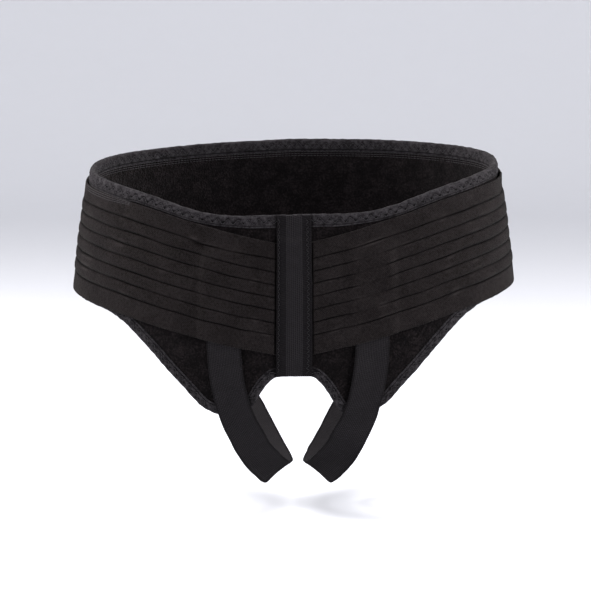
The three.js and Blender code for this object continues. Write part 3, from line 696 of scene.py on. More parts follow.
def sew(name, lines, thread, material):
    """Stitches as one mesh. Each line is the needle holes in order with the way out of the cloth there."""
    share, side, rise, faces = stitch_shape()
    start = np.concatenate([holes[:-1] for holes, _ in lines])
    along = np.concatenate([np.diff(holes, axis=0) for holes, _ in lines])
    out = unit(np.concatenate([way[:-1] + way[1:] for _, way in lines]))
    across = unit(np.cross(along, out))
    gap = STITCH["gap"]
    arch = thread * (STITCH["arch"] * np.sin(np.pi * share) ** 0.6 - STITCH["sink"])
    places = (
        start[:, None]
        + along[:, None] * (gap + (1 - 2 * gap) * share)[None, :, None]
        + across[:, None] * (side * thread / 2)[None, :, None]
        + out[:, None] * (rise * thread / 2 + arch)[None, :, None]
    )
    count, size = places.shape[:2]
    corners = [np.add.outer(np.arange(count) * size, np.array(face)).tolist() for face in faces]
    clean_selection()
    bpy.ops.mesh.primitive_plane_add()
    piece = bpy.context.object
    piece.name = name
    old, mesh = piece.data, bpy.data.meshes.new(name)
    mesh.from_pydata(places.reshape(-1, 3).tolist(), [], [row for block in corners for row in block])
    piece.data = mesh
    bpy.data.meshes.remove(old)
    length = np.linalg.norm(along, axis=1)
    run = np.concatenate([[0.0], np.cumsum(length)[:-1]])
    along_thread = run[:, None] + length[:, None] * share[None, :]
    round_thread = np.broadcast_to(1.5 * thread * np.arctan2(rise, side)[None, :] / math.pi, (count, size))
    order = np.empty(len(mesh.loops), np.int32)
    mesh.loops.foreach_get("vertex_index", order)
    cloth = np.stack([along_thread, round_thread], axis=-1).reshape(-1, 2)[order]
    mesh.uv_layers.new(name="cloth").data.foreach_set("uv", cloth.reshape(-1).astype(np.float32))
    mesh.materials.append(material)
    bpy.ops.object.mode_set(mode="EDIT")
    bpy.ops.mesh.select_all(action="SELECT")
    bpy.ops.mesh.normals_make_consistent(inside=False)
    bpy.ops.object.mode_set(mode="OBJECT")
    bpy.ops.object.shade_smooth_by_angle(angle=math.radians(60))
    return piece


def whole_period(length, period):
    """The period nearest to the one asked for that fits the length a whole number of times."""
    return length / max(1, round(length / period))


def zigzag(length, period, width, steps):
    """Needle holes along a line: their distances, and how far each lies to the side."""
    count = round(length / period) * len(steps)
    side = np.array(steps)[np.arange(count + 1) % len(steps)] * width / 2
    return np.linspace(0, length, count + 1), side


def drawn_in(run, side, period, width, steps, pinch):
    """How far a zigzag draws the cloth in, from 0 to 1: along its thread, and in a pit inside each corner.
    side is the distance from the zigzag's middle line."""
    corners = np.array(steps + steps[:1]) * width / 2
    thread = np.interp(run % period / period * len(steps), np.arange(len(corners)), corners)
    from_low = (run + period / 2) % period - period / 2
    from_high = run % period - period / 2
    inside = width / 2 - pinch["inset"]
    low = bell(from_low, pinch["along"]) * bell(side + inside, pinch["across"])
    high = bell(from_high, pinch["along"]) * bell(side - inside, pinch["across"])
    return bell(side - thread, pinch["line"]), np.maximum(low, high)


# Materials.


def new_material(name, colour, roughness, sheen, sheen_roughness=0.5, specular=0.35):
    material = bpy.data.materials.get(name)
    if material is not None:
        return material, None, None
    material = bpy.data.materials.new(name)
    material.use_nodes = True
    material.diffuse_color = (*colour, 1.0)
    shader = material.node_tree.nodes["Principled BSDF"]
    shader.inputs["Base Color"].default_value = (*colour, 1.0)
    shader.inputs["Roughness"].default_value = roughness
    shader.inputs["Sheen Weight"].default_value = sheen
    shader.inputs["Sheen Roughness"].default_value = sheen_roughness
    shader.inputs["Specular IOR Level"].default_value = specular
    return material, material.node_tree, shader


def node(tree, kind, inputs=None, **settings):
    made = tree.nodes.new(kind)
    for key, value in settings.items():
        setattr(made, key, value)
    for key, value in (inputs or {}).items():
        socket = made.inputs[key]
        if isinstance(value, bpy.types.NodeSocket):
            tree.links.new(value, socket)
        else:
            socket.default_value = value
    return made


def maths(tree, operation, a, b=0.0, clamp=False):
    return node(tree, "ShaderNodeMath", {0: a, 1: b}, operation=operation, use_clamp=clamp).outputs[0]


def blend_colours(tree, factor, a, b):
    mix = tree.nodes.new("ShaderNodeMix")
    mix.data_type = "RGBA"
    for socket, value in ((mix.inputs[0], factor), (mix.inputs[6], a), (mix.inputs[7], b)):
        if isinstance(value, bpy.types.NodeSocket):
            tree.links.new(value, socket)
        elif socket is mix.inputs[0]:
            socket.default_value = value
        else:
            socket.default_value = (*value, 1.0)
    return mix.outputs[2]


def mixed(tree, *terms):
    """The sum of (value, weight) terms."""
    total = None
    for value, weight in terms:
        if weight != 1.0:
            value = maths(tree, "MULTIPLY", value, weight)
        total = value if total is None else maths(tree, "ADD", total, value)
    return total


def shade_of(tree, name):
    """A value that the mesh holds for each point, such as how deep in a groove it lies."""
    return node(tree, "ShaderNodeAttribute", attribute_name=name).outputs["Fac"]


def room_place(tree):
    return node(tree, "ShaderNodeTexCoord").outputs["Object"]


def cloth_place(tree):
    """The distances along and round the cloth, in metres."""
    where = node(tree, "ShaderNodeUVMap", uv_map="cloth").outputs["UV"]
    split = node(tree, "ShaderNodeSeparateXYZ", {0: where})
    return split.outputs[0], split.outputs[1]


def wave(tree, place, pitch, shift=0.0):
    """A wave from -1 to 1 over a place in metres."""
    phase = maths(tree, "MULTIPLY", place, math.tau / pitch)
    if isinstance(shift, bpy.types.NodeSocket) or shift:
        phase = maths(tree, "ADD", phase, shift)
    return maths(tree, "SINE", phase)


def speckle(tree, scale, detail=2.0, roughness=0.6):
    """Fine unevenness in the room's own coordinates, from 0 to 1."""
    grain = {"Vector": room_place(tree), "Scale": scale, "Detail": detail, "Roughness": roughness}
    return node(tree, "ShaderNodeTexNoise", grain).outputs["Fac"]


def spread(tree, value, low, high):
    """Spreads values from low to high over 0 to 1."""
    limits = {"Value": value, "From Min": low, "From Max": high}
    return node(tree, "ShaderNodeMapRange", limits, clamp=True).outputs[0]


def finish_with_bump(tree, shader, height, strength, distance):
    bump = node(tree, "ShaderNodeBump", {"Height": height, "Strength": strength, "Distance": distance})
    tree.links.new(bump.outputs["Normal"], shader.inputs["Normal"])


def scaled(colour, factor):
    return tuple(min(1.0, c * factor) for c in colour)


def vary(tree, colour, pattern, darkest, lightest):
    """The colour at darkest to lightest times its brightness, as the pattern goes from 0 to 1."""
    return blend_colours(tree, pattern, scaled(colour, darkest), scaled(colour, lightest))


def plush_material(colours):
    """Looped pile: tufts of about a millimetre, dark between them and grey where they catch the light."""
    material, tree, shader = new_material(
        "plush_pile", tuple(colours.plush), roughness=0.95, sheen=0.025, sheen_roughness=0.6, specular=0.0
    )
    if tree is None:
        return material
    cells = {"Vector": room_place(tree), "Scale": 540.0, "Randomness": 1.0}
    tufts = node(tree, "ShaderNodeTexVoronoi", cells).outputs["Distance"]
    tuft = maths(tree, "SUBTRACT", 1.0, tufts, clamp=True)
    grain = speckle(tree, scale=500, detail=4.0, roughness=0.8)
    patch = speckle(tree, scale=90, detail=3.0)
    raised = mixed(tree, (tuft, 0.5), (grain, 1.0))
    lit = maths(tree, "MULTIPLY", raised, maths(tree, "ADD", patch, 0.45))
    lit = spread(tree, lit, low=0.62, high=1.15)
    colour = blend_colours(tree, lit, tuple(colours.plush), tuple(colours.plush_tip))
    tree.links.new(colour, shader.inputs["Base Color"])
    finish_with_bump(tree, shader, raised, strength=1.0, distance=0.0013)
    return material


def tape_material(colours):
    """Folded binding tape in a fine diagonal weave, mottled, with painted shade where the thread pulls it in
    and beside the strip, and dark needle holes in the pits.
    """
    material, tree, shader = new_material(
        "binding_tape", tuple(colours.tape), roughness=0.75, sheen=0.02, sheen_roughness=0.45, specular=0.0
    )
    if tree is None:
        return material
    run, across = cloth_place(tree)
    warp = wave(tree, maths(tree, "ADD", run, across), pitch=0.0012)
    weft = wave(tree, maths(tree, "SUBTRACT", run, across), pitch=0.0012)
    weave = maths(tree, "MULTIPLY", warp, weft)
    mottle = speckle(tree, scale=420, detail=4.0, roughness=0.8)
    patch = speckle(tree, scale=150)
    lit = mixed(tree, (weave, 0.08), (patch, 0.45), (mottle, 1.0))
    lit = spread(tree, lit, low=0.56, high=0.88)
    plain = vary(tree, colours.tape, lit, darkest=0.35, lightest=1.9)
    # Painted shade in the pits and creases, with dark needle holes in the pits.
    colour = blend_colours(tree, shade_of(tree, "pinch"), plain, scaled(colours.tape, 0.12))
    tree.links.new(colour, shader.inputs["Base Color"])
    height = mixed(tree, (weave, 0.3), (mottle, 1.0))
    finish_with_bump(tree, shader, height, strength=0.8, distance=0.0006)
    return material


def elastic_material(colours):
    """Woven elastic: wavering upright yarns crossed by fine cords, with painted shade in the grooves, beside
    the strip and under the crease, and painted highlight on the grooves' shoulders and the crease's crest.
    """
    material, tree, shader = new_material(
        "woven_elastic", tuple(colours.elastic), roughness=0.8, sheen=0.04, sheen_roughness=0.35, specular=0.0
    )
    if tree is None:
        return material
    run, across = cloth_place(tree)
    wander = maths(tree, "MULTIPLY", speckle(tree, scale=240), 6.0)
    yarns = wave(tree, run, pitch=0.00135, shift=wander)
    cords = wave(tree, across, pitch=0.0017, shift=wander)
    knit = maths(tree, "MULTIPLY", yarns, cords)
    grain = speckle(tree, scale=600, detail=3.0, roughness=0.85)
    patch = speckle(tree, scale=50, detail=3.0)
    lit = mixed(tree, (knit, 0.2), (patch, 0.3), (grain, 1.0))
    lit = spread(tree, lit, low=0.46, high=0.84)
    plain = vary(tree, colours.elastic, lit, darkest=0.35, lightest=1.65)
    # Painted highlight on the grooves' shoulders and on the crease's crest.
    plain = blend_colours(tree, shade_of(tree, "painted_highlight"), plain, scaled(colours.elastic, 2.6))
    # Painted shade in the grooves, in the dent beside the strip and under the crease's fold.
    colour = blend_colours(tree, shade_of(tree, "groove"), plain, scaled(colours.elastic, 0.08))
    tree.links.new(colour, shader.inputs["Base Color"])
    height = mixed(tree, (knit, 0.4), (grain, 1.0))
    finish_with_bump(tree, shader, height, strength=0.9, distance=0.0006)
    return material


def webbing_material(colours, name, brightness):
    """Ribbed webbing: short yarns that cross its lengthwise ribs, with painted highlight on the rib crests
    and painted sheen on the strip's ribbed middle, and painted shade where a thread pulls it in, with dark
    needle holes in the pits.
    """
    base = scaled(colours.webbing, brightness)
    material, tree, shader = new_material(
        name, base, roughness=0.62, sheen=0.01, sheen_roughness=0.4, specular=0.0
    )
    if tree is None:
        return material
    run, across = cloth_place(tree)
    lean = maths(tree, "MULTIPLY", across, 900.0)
    picks = wave(tree, run, pitch=0.0019, shift=lean)
    grain = speckle(tree, scale=800, roughness=0.7)
    patch = speckle(tree, scale=80)
    # Painted highlight on the ribs.
    lit = mixed(tree, (picks, 0.14), (shade_of(tree, "rib_highlight"), 0.8), (patch, 0.3), (grain, 0.8))
    plain = vary(tree, base, spread(tree, lit, low=0.4, high=1.3), darkest=0.75, lightest=2.1)
    # Painted shade where a thread pulls the webbing in, with dark needle holes in the pits.
    colour = blend_colours(tree, shade_of(tree, "pinch"), plain, scaled(base, 0.15))
    tree.links.new(colour, shader.inputs["Base Color"])
    height = mixed(tree, (picks, 0.5), (grain, 1.0))
    finish_with_bump(tree, shader, height, strength=0.6, distance=0.0003)
    return material


def thread_material(colours, name="sewing_thread", brightness=1.0):
    """Twisted polyester thread."""
    base = scaled(colours.thread, brightness)
    material, tree, shader = new_material(
        name, base, roughness=0.6, sheen=0.01, sheen_roughness=0.4, specular=0.02
    )
    if tree is None:
        return material
    run, around = cloth_place(tree)
    ply = wave(tree, maths(tree, "ADD", run, around), pitch=0.0005)
    lit = spread(tree, ply, low=-1.0, high=1.0)
    tree.links.new(vary(tree, base, lit, darkest=0.6, lightest=1.3), shader.inputs["Base Color"])
    finish_with_bump(tree, shader, ply, strength=0.4, distance=0.0001)
    return material


def floor_material(stage, colours):
    """Pale studio paper with a faint grain, lit up towards the wall."""
    material, tree, shader = new_material("floor_paper", tuple(colours.floor), roughness=0.9, sheen=0.0)
    if tree is None:
        return material
    grain = speckle(tree, scale=30, detail=3.0)
    colour = vary(tree, colours.floor, grain, darkest=0.985, lightest=1.015)
    tree.links.new(colour, shader.inputs["Base Color"])
    on_plan = {0: room_place(tree), 1: (1.0, 1.0, 0.0)}
    flat = node(tree, "ShaderNodeVectorMath", on_plan, operation="MULTIPLY").outputs[0]
    away = node(tree, "ShaderNodeVectorMath", {0: flat}, operation="LENGTH").outputs["Value"]
    lit = spread(tree, away, stage.glow_from, stage.floor_radius)
    tree.links.new(maths(tree, "MULTIPLY", lit, stage.wall_glow), shader.inputs["Emission Strength"])
    shader.inputs["Emission Color"].default_value = (*colours.floor, 1.0)
    return material


def own(piece, node_name):
    """The piece rides on the belt's one body and takes the place of a solid."""
    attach(piece, "root")
    if node_name:
        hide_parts(node_name)


# The pieces.


def make_hip_panel(sizes, colours):
    """The plush panel: up its outer face, down its inner one, and plump away from its edges."""
    pattern = Pattern(sizes)
    hips = pattern.hips
    lower = PanelEdge(pattern, pattern.panel_bottom, -1)
    upper = PanelEdge(pattern, pattern.panel_top, 1)
    along = np.interp(lower.stations(PITCH["panel"]), lower.distance, lower.along)[:, None]
    low, high = lower.level_at(along), upper.level_at(along)
    outer_rows, inner_rows = COLUMNS["panel"]
    up = np.linspace(0, 1, outer_rows)[None, :]
    down = np.linspace(1, 0, inner_rows)[None, :]
    share = np.concatenate([up, down, up[:, :1]], axis=1)
    level = low + (high - low) * share
    outside = np.concatenate([np.ones(outer_rows), np.zeros(inner_rows), [1.0]])[None, :]
    plump = ramp(np.minimum(level - low, high - level), 0.006, 0.012)
    soft = ripple(along, level, hips.girth, "panel")
    pile = ripple(along, level, hips.girth, "pile")
    outer, inner = (
        plump * (row["plump"] + row["soft"] * soft + row["pile"] * pile)
        for row in (PANEL_RELIEF["outer"], PANEL_RELIEF["inner"])
    )
    height = np.where(outside > 0, pattern.panel_high + outer, pattern.panel_low - inner)
    places = hips.lay(along, level, height)
    piece = cloth_from_grid("plush_panel", places, along, level, plush_material(colours), 80)
    own(piece, "hip_panel")


def tape_outline(pattern, width):
    """Section of the folded tape: how far beyond the panel's edge, and height, once round and closed."""
    sizes = pattern.sizes
    thick, gap, tip = sizes.binding_thickness, sizes.layer_gap, pattern.tape_tip
    end, bend, corner = tip - width, 0.0013, 0.0003
    high, low = pattern.tape_high, pattern.tape_low
    leg = np.linspace(end + corner, tip - bend, COLUMNS["tape"][0])
    inner_leg = np.linspace(end + 0.001, gap - 0.0002, COLUMNS["tape"][1])
    turns = np.linspace(0, math.pi / 2, 6)[1:]
    points = [(x, high) for x in leg]
    points += [(tip - bend * (1 - math.sin(t)), high - bend * (1 - math.cos(t))) for t in turns]
    points += [(tip, high / 2)]
    points += [(tip - bend * (1 - math.cos(t)), bend * (1 - math.sin(t))) for t in turns]
    points += [(x, 0.0) for x in leg[::-2]]
    points += [(end, thick * 0.3), (end, thick * 0.7), (end + corner, thick)]
    points += [(x, thick) for x in inner_leg]
    points += [(gap, thick + corner), (gap, low - corner)]
    points += [(x, low) for x in inner_leg[::-1]]
    points += [(end + corner, low), (end, low + thick * 0.3), (end, low + thick * 0.7)]
    points.append(points[0])
    return np.array(points)


def sewn_down(sizes, along):
    """1 where the band's top edge is sewn down, 0 where it is free."""
    blend = 0.008
    left = ramp(-along, sizes.sewn_from - blend / 2, blend)
    right = ramp(along, sizes.sewn_to - blend / 2, blend)
    return np.maximum(left, right)


def tape_crown(pattern, edge, width, run, side, drawn, nth):
    """How far the tape's faces stand up: plump and puckered between its stitches, flat at its ends. Also
    how much painted shade darkens them, from 0 to 1, where they are pressed in: along the thread, in the
    pits, in the lip's crease and beside the strip. In the pits it also stands for the needle holes."""
    beyond = side["beyond"]
    free_end = pattern.tape_tip - width
    body = ramp(beyond, free_end, 0.0012) * fall(beyond, pattern.tape_tip - 0.0008, 0.0018)
    pucker = ripple(run, beyond, edge.length, "tape_pucker", nth)
    lip = bell(beyond - free_end - 0.0017, 0.0003)
    from_strip = np.abs(edge.beside(run, 0)[0]) - pattern.sizes.webbing_width / 2
    strip_dent_and_shade = bell(from_strip - 0.0005, 0.001)
    line, pit = drawn
    stitched = np.maximum(0.5 * line, pit)
    puffed = TAPE_RELIEF["plump"] + TAPE_RELIEF["pucker"] * pucker - TAPE_RELIEF["stitches"] * stitched
    crown = body * (puffed - TAPE_RELIEF["strip"] * strip_dent_and_shade) - TAPE_RELIEF["lip"] * lip
    # Painted shade where the tape is pressed in, with dark needle holes in the pits.
    shade_and_holes = body * (TAPE_SHADE_AND_HOLES["line"] * line + TAPE_SHADE_AND_HOLES["pit"] * pit) + lip
    shade_and_holes = shade_and_holes + TAPE_SHADE_AND_HOLES["strip"] * strip_dent_and_shade * side["outer"]
    return crown, np.clip(shade_and_holes, 0, 1)


def make_tape(sizes, colours, name, node_name, top):
    """A binding tape, pinched by its zigzag, and the zigzag itself on both faces."""
    pattern = Pattern(sizes)
    hips = pattern.hips
    edge = PanelEdge(pattern, pattern.panel_top if top else pattern.panel_bottom, 1 if top else -1)
    width, nth = (sizes.top_binding_width, 0) if top else (sizes.lower_binding_width, 1)
    outline, run = tape_outline(pattern, width), edge.stations(PITCH["tape"])[:, None]
    beyond, height = outline[None, :, 0], outline[None, :, 1]
    side = {"beyond": beyond, "outer": height > pattern.panel_high}
    outer_top, inner_top = height >= pattern.tape_high - 1e-6, height < pattern.panel_low / 2

    middle = pattern.tape_tip - width / 2
    swing = min(sizes.tape_zigzag_width, width / 2)
    period = whole_period(edge.length, sizes.tape_zigzag_period)
    drawn = drawn_in(run, beyond - middle, period, swing, THREE_STEP_ZIGZAG, TAPE_PINCH)
    crown, shade_and_holes = tape_crown(pattern, edge, width, run, side, drawn, nth)
    crown = np.where(outer_top, crown, np.where(inner_top, -0.6 * crown, 0.0))
    wander = 0.00018 * ripple(run, 0 * run, edge.length, "tape_edge", nth)
    shift = wander * ramp(beyond, -width, width)
    if top:
        away = edge.beside(run, 0)[0]
        free = ramp(np.abs(away), 0.03, 0.03) * (1 - sewn_down(sizes, away))
        shift = shift + sizes.top_tape_gap * free * side["outer"] * fall(beyond, 0.0, width)
    along, level = edge.beside(run, beyond + shift)
    places = hips.lay(along, level, height + crown)
    round_it = outline_length(outline)[None, :]
    piece = cloth_from_grid(name, places, run, round_it, tape_material(colours), 60, {"pinch": shade_and_holes})
    own(piece, node_name)

    at, aside = zigzag(edge.length, period, swing, THREE_STEP_ZIGZAG)
    along, level = edge.beside(at, middle + aside)
    face, clear = hips.face(along, level), 0.0001
    outer_line = (hips.lay(along, level, pattern.tape_high + clear), face)
    inner_line = (hips.lay(along, level, -clear), -face)
    stitches = sew(name + "_zigzag", (outer_line, inner_line), sizes.thread, thread_material(colours))
    own(stitches, None)


def groove_places(sizes):
    """The grooves' middles across the band, from the lowest one up."""
    usable = sizes.band_width - sizes.band_top_margin - sizes.band_bottom_margin
    return sizes.band_bottom_margin - sizes.band_width / 2 + np.linspace(0, usable, sizes.groove_count)


def band_outline(sizes, grooves):
    """Section of the band: across it and height above its inner face, once round and closed, with rows of
    points close together at the grooves. The first of them, as many as the second result, are its face."""
    half, thick = sizes.band_width / 2, sizes.band_thickness
    steps = np.array(GROOVE_STEPS) * sizes.groove_width
    fine = np.add.outer(grooves, np.concatenate([-steps, [0.0], steps])).reshape(-1)
    plain = np.linspace(thick / 2 - half, half - thick / 2, COLUMNS["band"][0])
    spare = 0.0004
    clear = np.abs(plain[:, None] - grooves).min(axis=1) > steps[-1] + spare
    rows = np.sort(np.concatenate([fine, plain[clear]]))
    back = np.linspace(rows[-1], rows[0], COLUMNS["band"][1])
    outer = np.column_stack([rows, np.full_like(rows, thick)])
    inner = np.column_stack([back, np.zeros_like(back)])
    top_edge, low_edge = round_the_edge(half, 0.0, thick), round_the_edge(-half, 0.0, thick)[::-1]
    return np.concatenate([outer, top_edge, inner, low_edge, outer[:1]]), len(rows)


def band_stations(pattern):
    """Places along the band from the strip round to it again, close together beside the strip."""
    hips = pattern.hips
    close_until = 0.022
    close = np.arange(pattern.band_end, close_until, PITCH["band_end"])
    wide = np.linspace(close_until + 0.0005, hips.half_girth, int(hips.half_girth / PITCH["band"]))
    start = np.concatenate([close, wide])
    rest = start[::-1][1:]
    return np.concatenate([start, -rest])[:, None], np.concatenate([start, hips.girth - rest])[:, None]


def band_grooves(pattern, grooves, along, across):
    """Where the face sinks into a groove and where it is a groove's shoulder, both from 0 to 1. The inner
    grooves all but vanish over the right strap, and the top one dips past the crease."""
    sizes, girth = pattern.sizes, pattern.hips.girth
    over_strap = 1 - ramp(np.abs(along - pattern.strap_front(1)), 0.009, 0.01)
    past = along - sizes.crease_along
    dip = 0.0014 * ramp(past, 0.0, 0.008) * (1 - ramp(past, 0.025, 0.03))
    last = len(grooves) - 1
    reach = 0.33 * sizes.groove_width * (1 + 0.6 * ramp(np.abs(along), 0.1, 0.06))
    depth = shoulder = 0.0
    for i, groove in enumerate(grooves):
        fade = 0.8 + 0.2 * np.clip(ripple(along, 0 * along, girth, "groove_fade", i), -1, 1)
        wander = 0.00025 * ripple(along, 0 * along, girth, "groove_wander", i)
        if 0 < i < last:
            fade = fade * (1 - 0.85 * over_strap)
        if i == last:
            wander = wander - dip
        away = (across - groove - wander) / reach
        depth = np.maximum(depth, fade * bell(away, 1.0))
        shoulder = np.maximum(shoulder, np.exp(-((np.abs(away) - 2.6) ** 2) / 1.2))
    return depth, shoulder


def band_pillows(sizes, grooves, along, across):
    """Height of the elastic between two grooves, more at the sides where the band is drawn round."""
    height = 0.0
    for low, high in zip(grooves[:-1], grooves[1:]):
        share = np.clip((across - low) / (high - low), 0, 1)
        height = height + np.sin(np.pi * share) ** 0.8
    return sizes.pillow_height * height * (1 + 1.5 * ramp(np.abs(along), 0.12, 0.06))


def band_crease(sizes, top_groove, along, across):
    """A small crease at the top groove: its height, the fold under it, which also carries painted shade, and
    the painted highlight on its crest.
    """
    past, up = along - sizes.crease_along, across - top_groove

    def part(name):
        row = CREASE[name]
        beside = past - row["along"]
        return bell(up - row["up"] + row["lean"] * beside, row["tall"]) * bell(beside, row["long"])

    return sizes.crease_height * part("ridge"), 0.6 * part("fold_and_shade"), part("crest_highlight")


def band_highlights(pattern, top_groove, along, across, shoulder):
    """Where painted highlight lightens the grooves' shoulders: by chance, and in a streak on the top one."""
    chance = ripple(along, across, pattern.hips.girth, "band_highlights")
    streak = bell(along - pattern.sizes.highlight_streak_along, 0.012) * bell(across - top_groove, 0.003)
    return shoulder * np.maximum(np.clip(0.6 * chance - 0.35, 0, 0.5), 0.8 * streak)


def make_elastic_band(sizes, colours):
    """The elastic band: a closed run round the hips that begins and ends under the centre strip."""
    pattern = Pattern(sizes)
    hips, grooves = pattern.hips, groove_places(sizes)
    outline, face_points = band_outline(sizes, grooves)
    along, run = band_stations(pattern)
    across, height = outline[None, :, 0], outline[None, :, 1]
    column = np.arange(len(outline))
    outside = ((column < face_points) | (column == len(outline) - 1))[None, :]
    level = pattern.band_middle(along) + across * pattern.band_stretch(along)

    depth, shoulder = band_grooves(pattern, grooves, along, across)
    crease, fold_and_shade, crest_highlight = band_crease(sizes, grooves[-1], along, across)
    # A dent beside the strip that is also painted as shadow: depth sinks the face and darkens it as painted
    # shade, in the grooves, beside the strip and under the crease's fold.
    strip_dent_and_shade = bell(np.abs(along) - sizes.webbing_width / 2 - 0.0006, 0.0009)
    depth = np.maximum(depth, np.maximum(0.9 * strip_dent_and_shade, fold_and_shade))
    painted_highlight = np.maximum(band_highlights(pattern, grooves[-1], along, across, shoulder), crest_highlight)
    relief = band_pillows(sizes, grooves, along, across) - sizes.groove_depth * depth
    relief = relief + BAND_RELIEF["shoulder"] * shoulder

    free = ramp(np.abs(along), 0.024, 0.03)
    slack = BAND_RELIEF["slack_ripple"] * ripple(along, level, hips.girth, "band_slack")
    slack = np.maximum(BAND_RELIEF["slack"] + slack, 0)
    fine = BAND_RELIEF["fine"] * ripple(along, level, hips.girth, "band_fine")
    open_edge = ramp(np.abs(along), 0.018, 0.05) * (1 - sewn_down(sizes, along))
    curl = sizes.band_curl * open_edge * ramp(across, sizes.band_width / 2 - 0.011, 0.011)
    rise = pattern.band_low + pattern.band_lift(along, level) + free * (slack + fine) + crease + curl
    places = hips.lay(along, level, rise + height + np.where(outside, relief, 0.0))
    # Painted shade in the grooves and painted highlight on their shoulders, on the outer face only.
    shades = {
        "groove": np.where(outside, np.clip(depth * 1.15, 0, 1), 0.0),
        "painted_highlight": np.where(outside, painted_highlight, 0.0),
    }
    round_it = outline_length(outline)[None, :]
    piece = cloth_from_grid("elastic", places, run, round_it, elastic_material(colours), 50, shades)
    own(piece, "elastic_band")


def strip_ribs(sizes, across):
    """Height of the ribs in the middle of the centre strip, and where that ribbed zone is."""
    zone = fall(np.abs(across), sizes.strip_rib_zone / 2, 0.0006)
    return zone * (1 + np.cos(math.tau * across / sizes.strip_rib_pitch)) / 2, zone


def strip_height(pattern, along, level):
    """Height of the strip's middle: over the band, and down on the panel above and below it."""
    beyond = np.maximum(level - pattern.band_top(along), pattern.band_bottom(along) - level)
    down = ramp(beyond, 0.0008, pattern.sizes.strip_ramp)
    return pattern.strip_high + (pattern.strap_middle - pattern.strip_high) * down


def make_centre_strip(sizes, colours):
    """The strip over the band's two ends, ribbed in its middle, with a zigzag row down each side."""
    pattern = Pattern(sizes)
    hips = pattern.hips
    half = sizes.webbing_width / 2
    outline = webbing_outline(sizes, COLUMNS["strip"], lambda x: sizes.rib_depth * strip_ribs(sizes, x)[0])
    bottom = float(pattern.panel_bottom(0.0)) - pattern.tape_tip + sizes.strip_end_margin
    top = float(pattern.panel_top(0.0)) + pattern.tape_tip - sizes.strip_end_margin
    level = np.linspace(bottom, top, int((top - bottom) / PITCH["strip"]))[:, None]
    across, height = outline[None, :, 0], outline[None, :, 1]
    unsewn = 0.003
    first, sewn = bottom + unsewn, top - bottom - 2 * unsewn
    period = whole_period(sewn, sizes.strip_zigzag_period)
    within = (level > first) & (level < first + sewn) & (height > 0)

    def bow(at):
        return 0.0004 * np.sin(math.pi * (at - bottom) / (top - bottom))

    pinch, lines = 0.0, []
    for row in STRIP_ROWS:
        middle = row["side"] * (half - row["inset"])
        beside = across - middle
        line, pit = drawn_in(level - first, beside, period, row["width"], PLAIN_ZIGZAG, WEBBING_PINCH)
        pinch = np.maximum(pinch, within * np.maximum(0.5 * line, pit))
        at, aside = zigzag(sewn, period, row["width"], PLAIN_ZIGZAG)
        out = strip_height(pattern, middle, first + at) + sizes.webbing_thickness / 2
        place = middle + aside + bow(first + at)
        lines.append((hips.lay(place, first + at, out), hips.face(place, first + at)))

    edge_wander = 0.00018 * ripple(level, 0 * level, STRIP_REPEAT, "strip_edge") * (across / half)
    flatter = 1 - 0.36 * fall(np.minimum(level - bottom, top - level), 0.0012, 0.0012)
    soft = 0.00009 * ripple(across, level, STRIP_REPEAT, "strip_face") - 0.0003 * pinch
    rise = strip_height(pattern, across, level) + np.where(height > 0, soft, 0.0) + height * flatter
    places = hips.lay(across + bow(level) + edge_wander, level, rise)
    ribs, zone = strip_ribs(sizes, across)
    # Painted sheen on the ribbed middle and painted highlight on the rib crests; painted shade where the
    # zigzags pull the strip in, with dark needle holes in the pits.
    shades = {"rib_highlight": 0.25 * zone + 0.75 * ribs, "pinch": 0.9 * pinch}
    material = webbing_material(colours, "strip_webbing", brightness=0.88)
    piece = cloth_from_grid("strip", places, level, outline_length(outline)[None, :], material, 60, shades)
    own(piece, "centre_strip")
    stitches = sew("strip_stitching", lines, sizes.thread, thread_material(colours, "strip_thread", 0.7))
    own(stitches, None)


def spline_at(points, share, centripetal):
    """A Catmull-Rom curve through points: share runs from 0 to 1 and gives each point an equal part."""
    points = np.asarray(points, float)
    count = len(points) - 1
    padded = np.concatenate([2 * points[:1] - points[1:2], points, 2 * points[-1:] - points[-2:-1]])
    place = np.clip(share, 0, 1) * count
    i = np.minimum(place.astype(int), count - 1)
    t = (place - i)[:, None]
    p0, p1, p2, p3 = (padded[i + k] for k in range(4))
    if centripetal:
        d0, d1, d2 = (
            np.maximum(np.sum((b - a) ** 2, axis=1) ** 0.25, 1e-6)[:, None]
            for a, b in ((p0, p1), (p1, p2), (p2, p3))
        )
        m1 = ((p1 - p0) / d0 - (p2 - p0) / (d0 + d1) + (p2 - p1) / d1) * d1
        m2 = ((p2 - p1) / d1 - (p3 - p1) / (d1 + d2) + (p3 - p2) / d2) * d1
    else:
        m1, m2 = (p2 - p0) / 2, (p3 - p1) / 2
    return p1 + m1 * t + (3 * (p2 - p1) - 2 * m1 - m2) * t**2 + (2 * (p1 - p2) + m1 + m2) * t**3


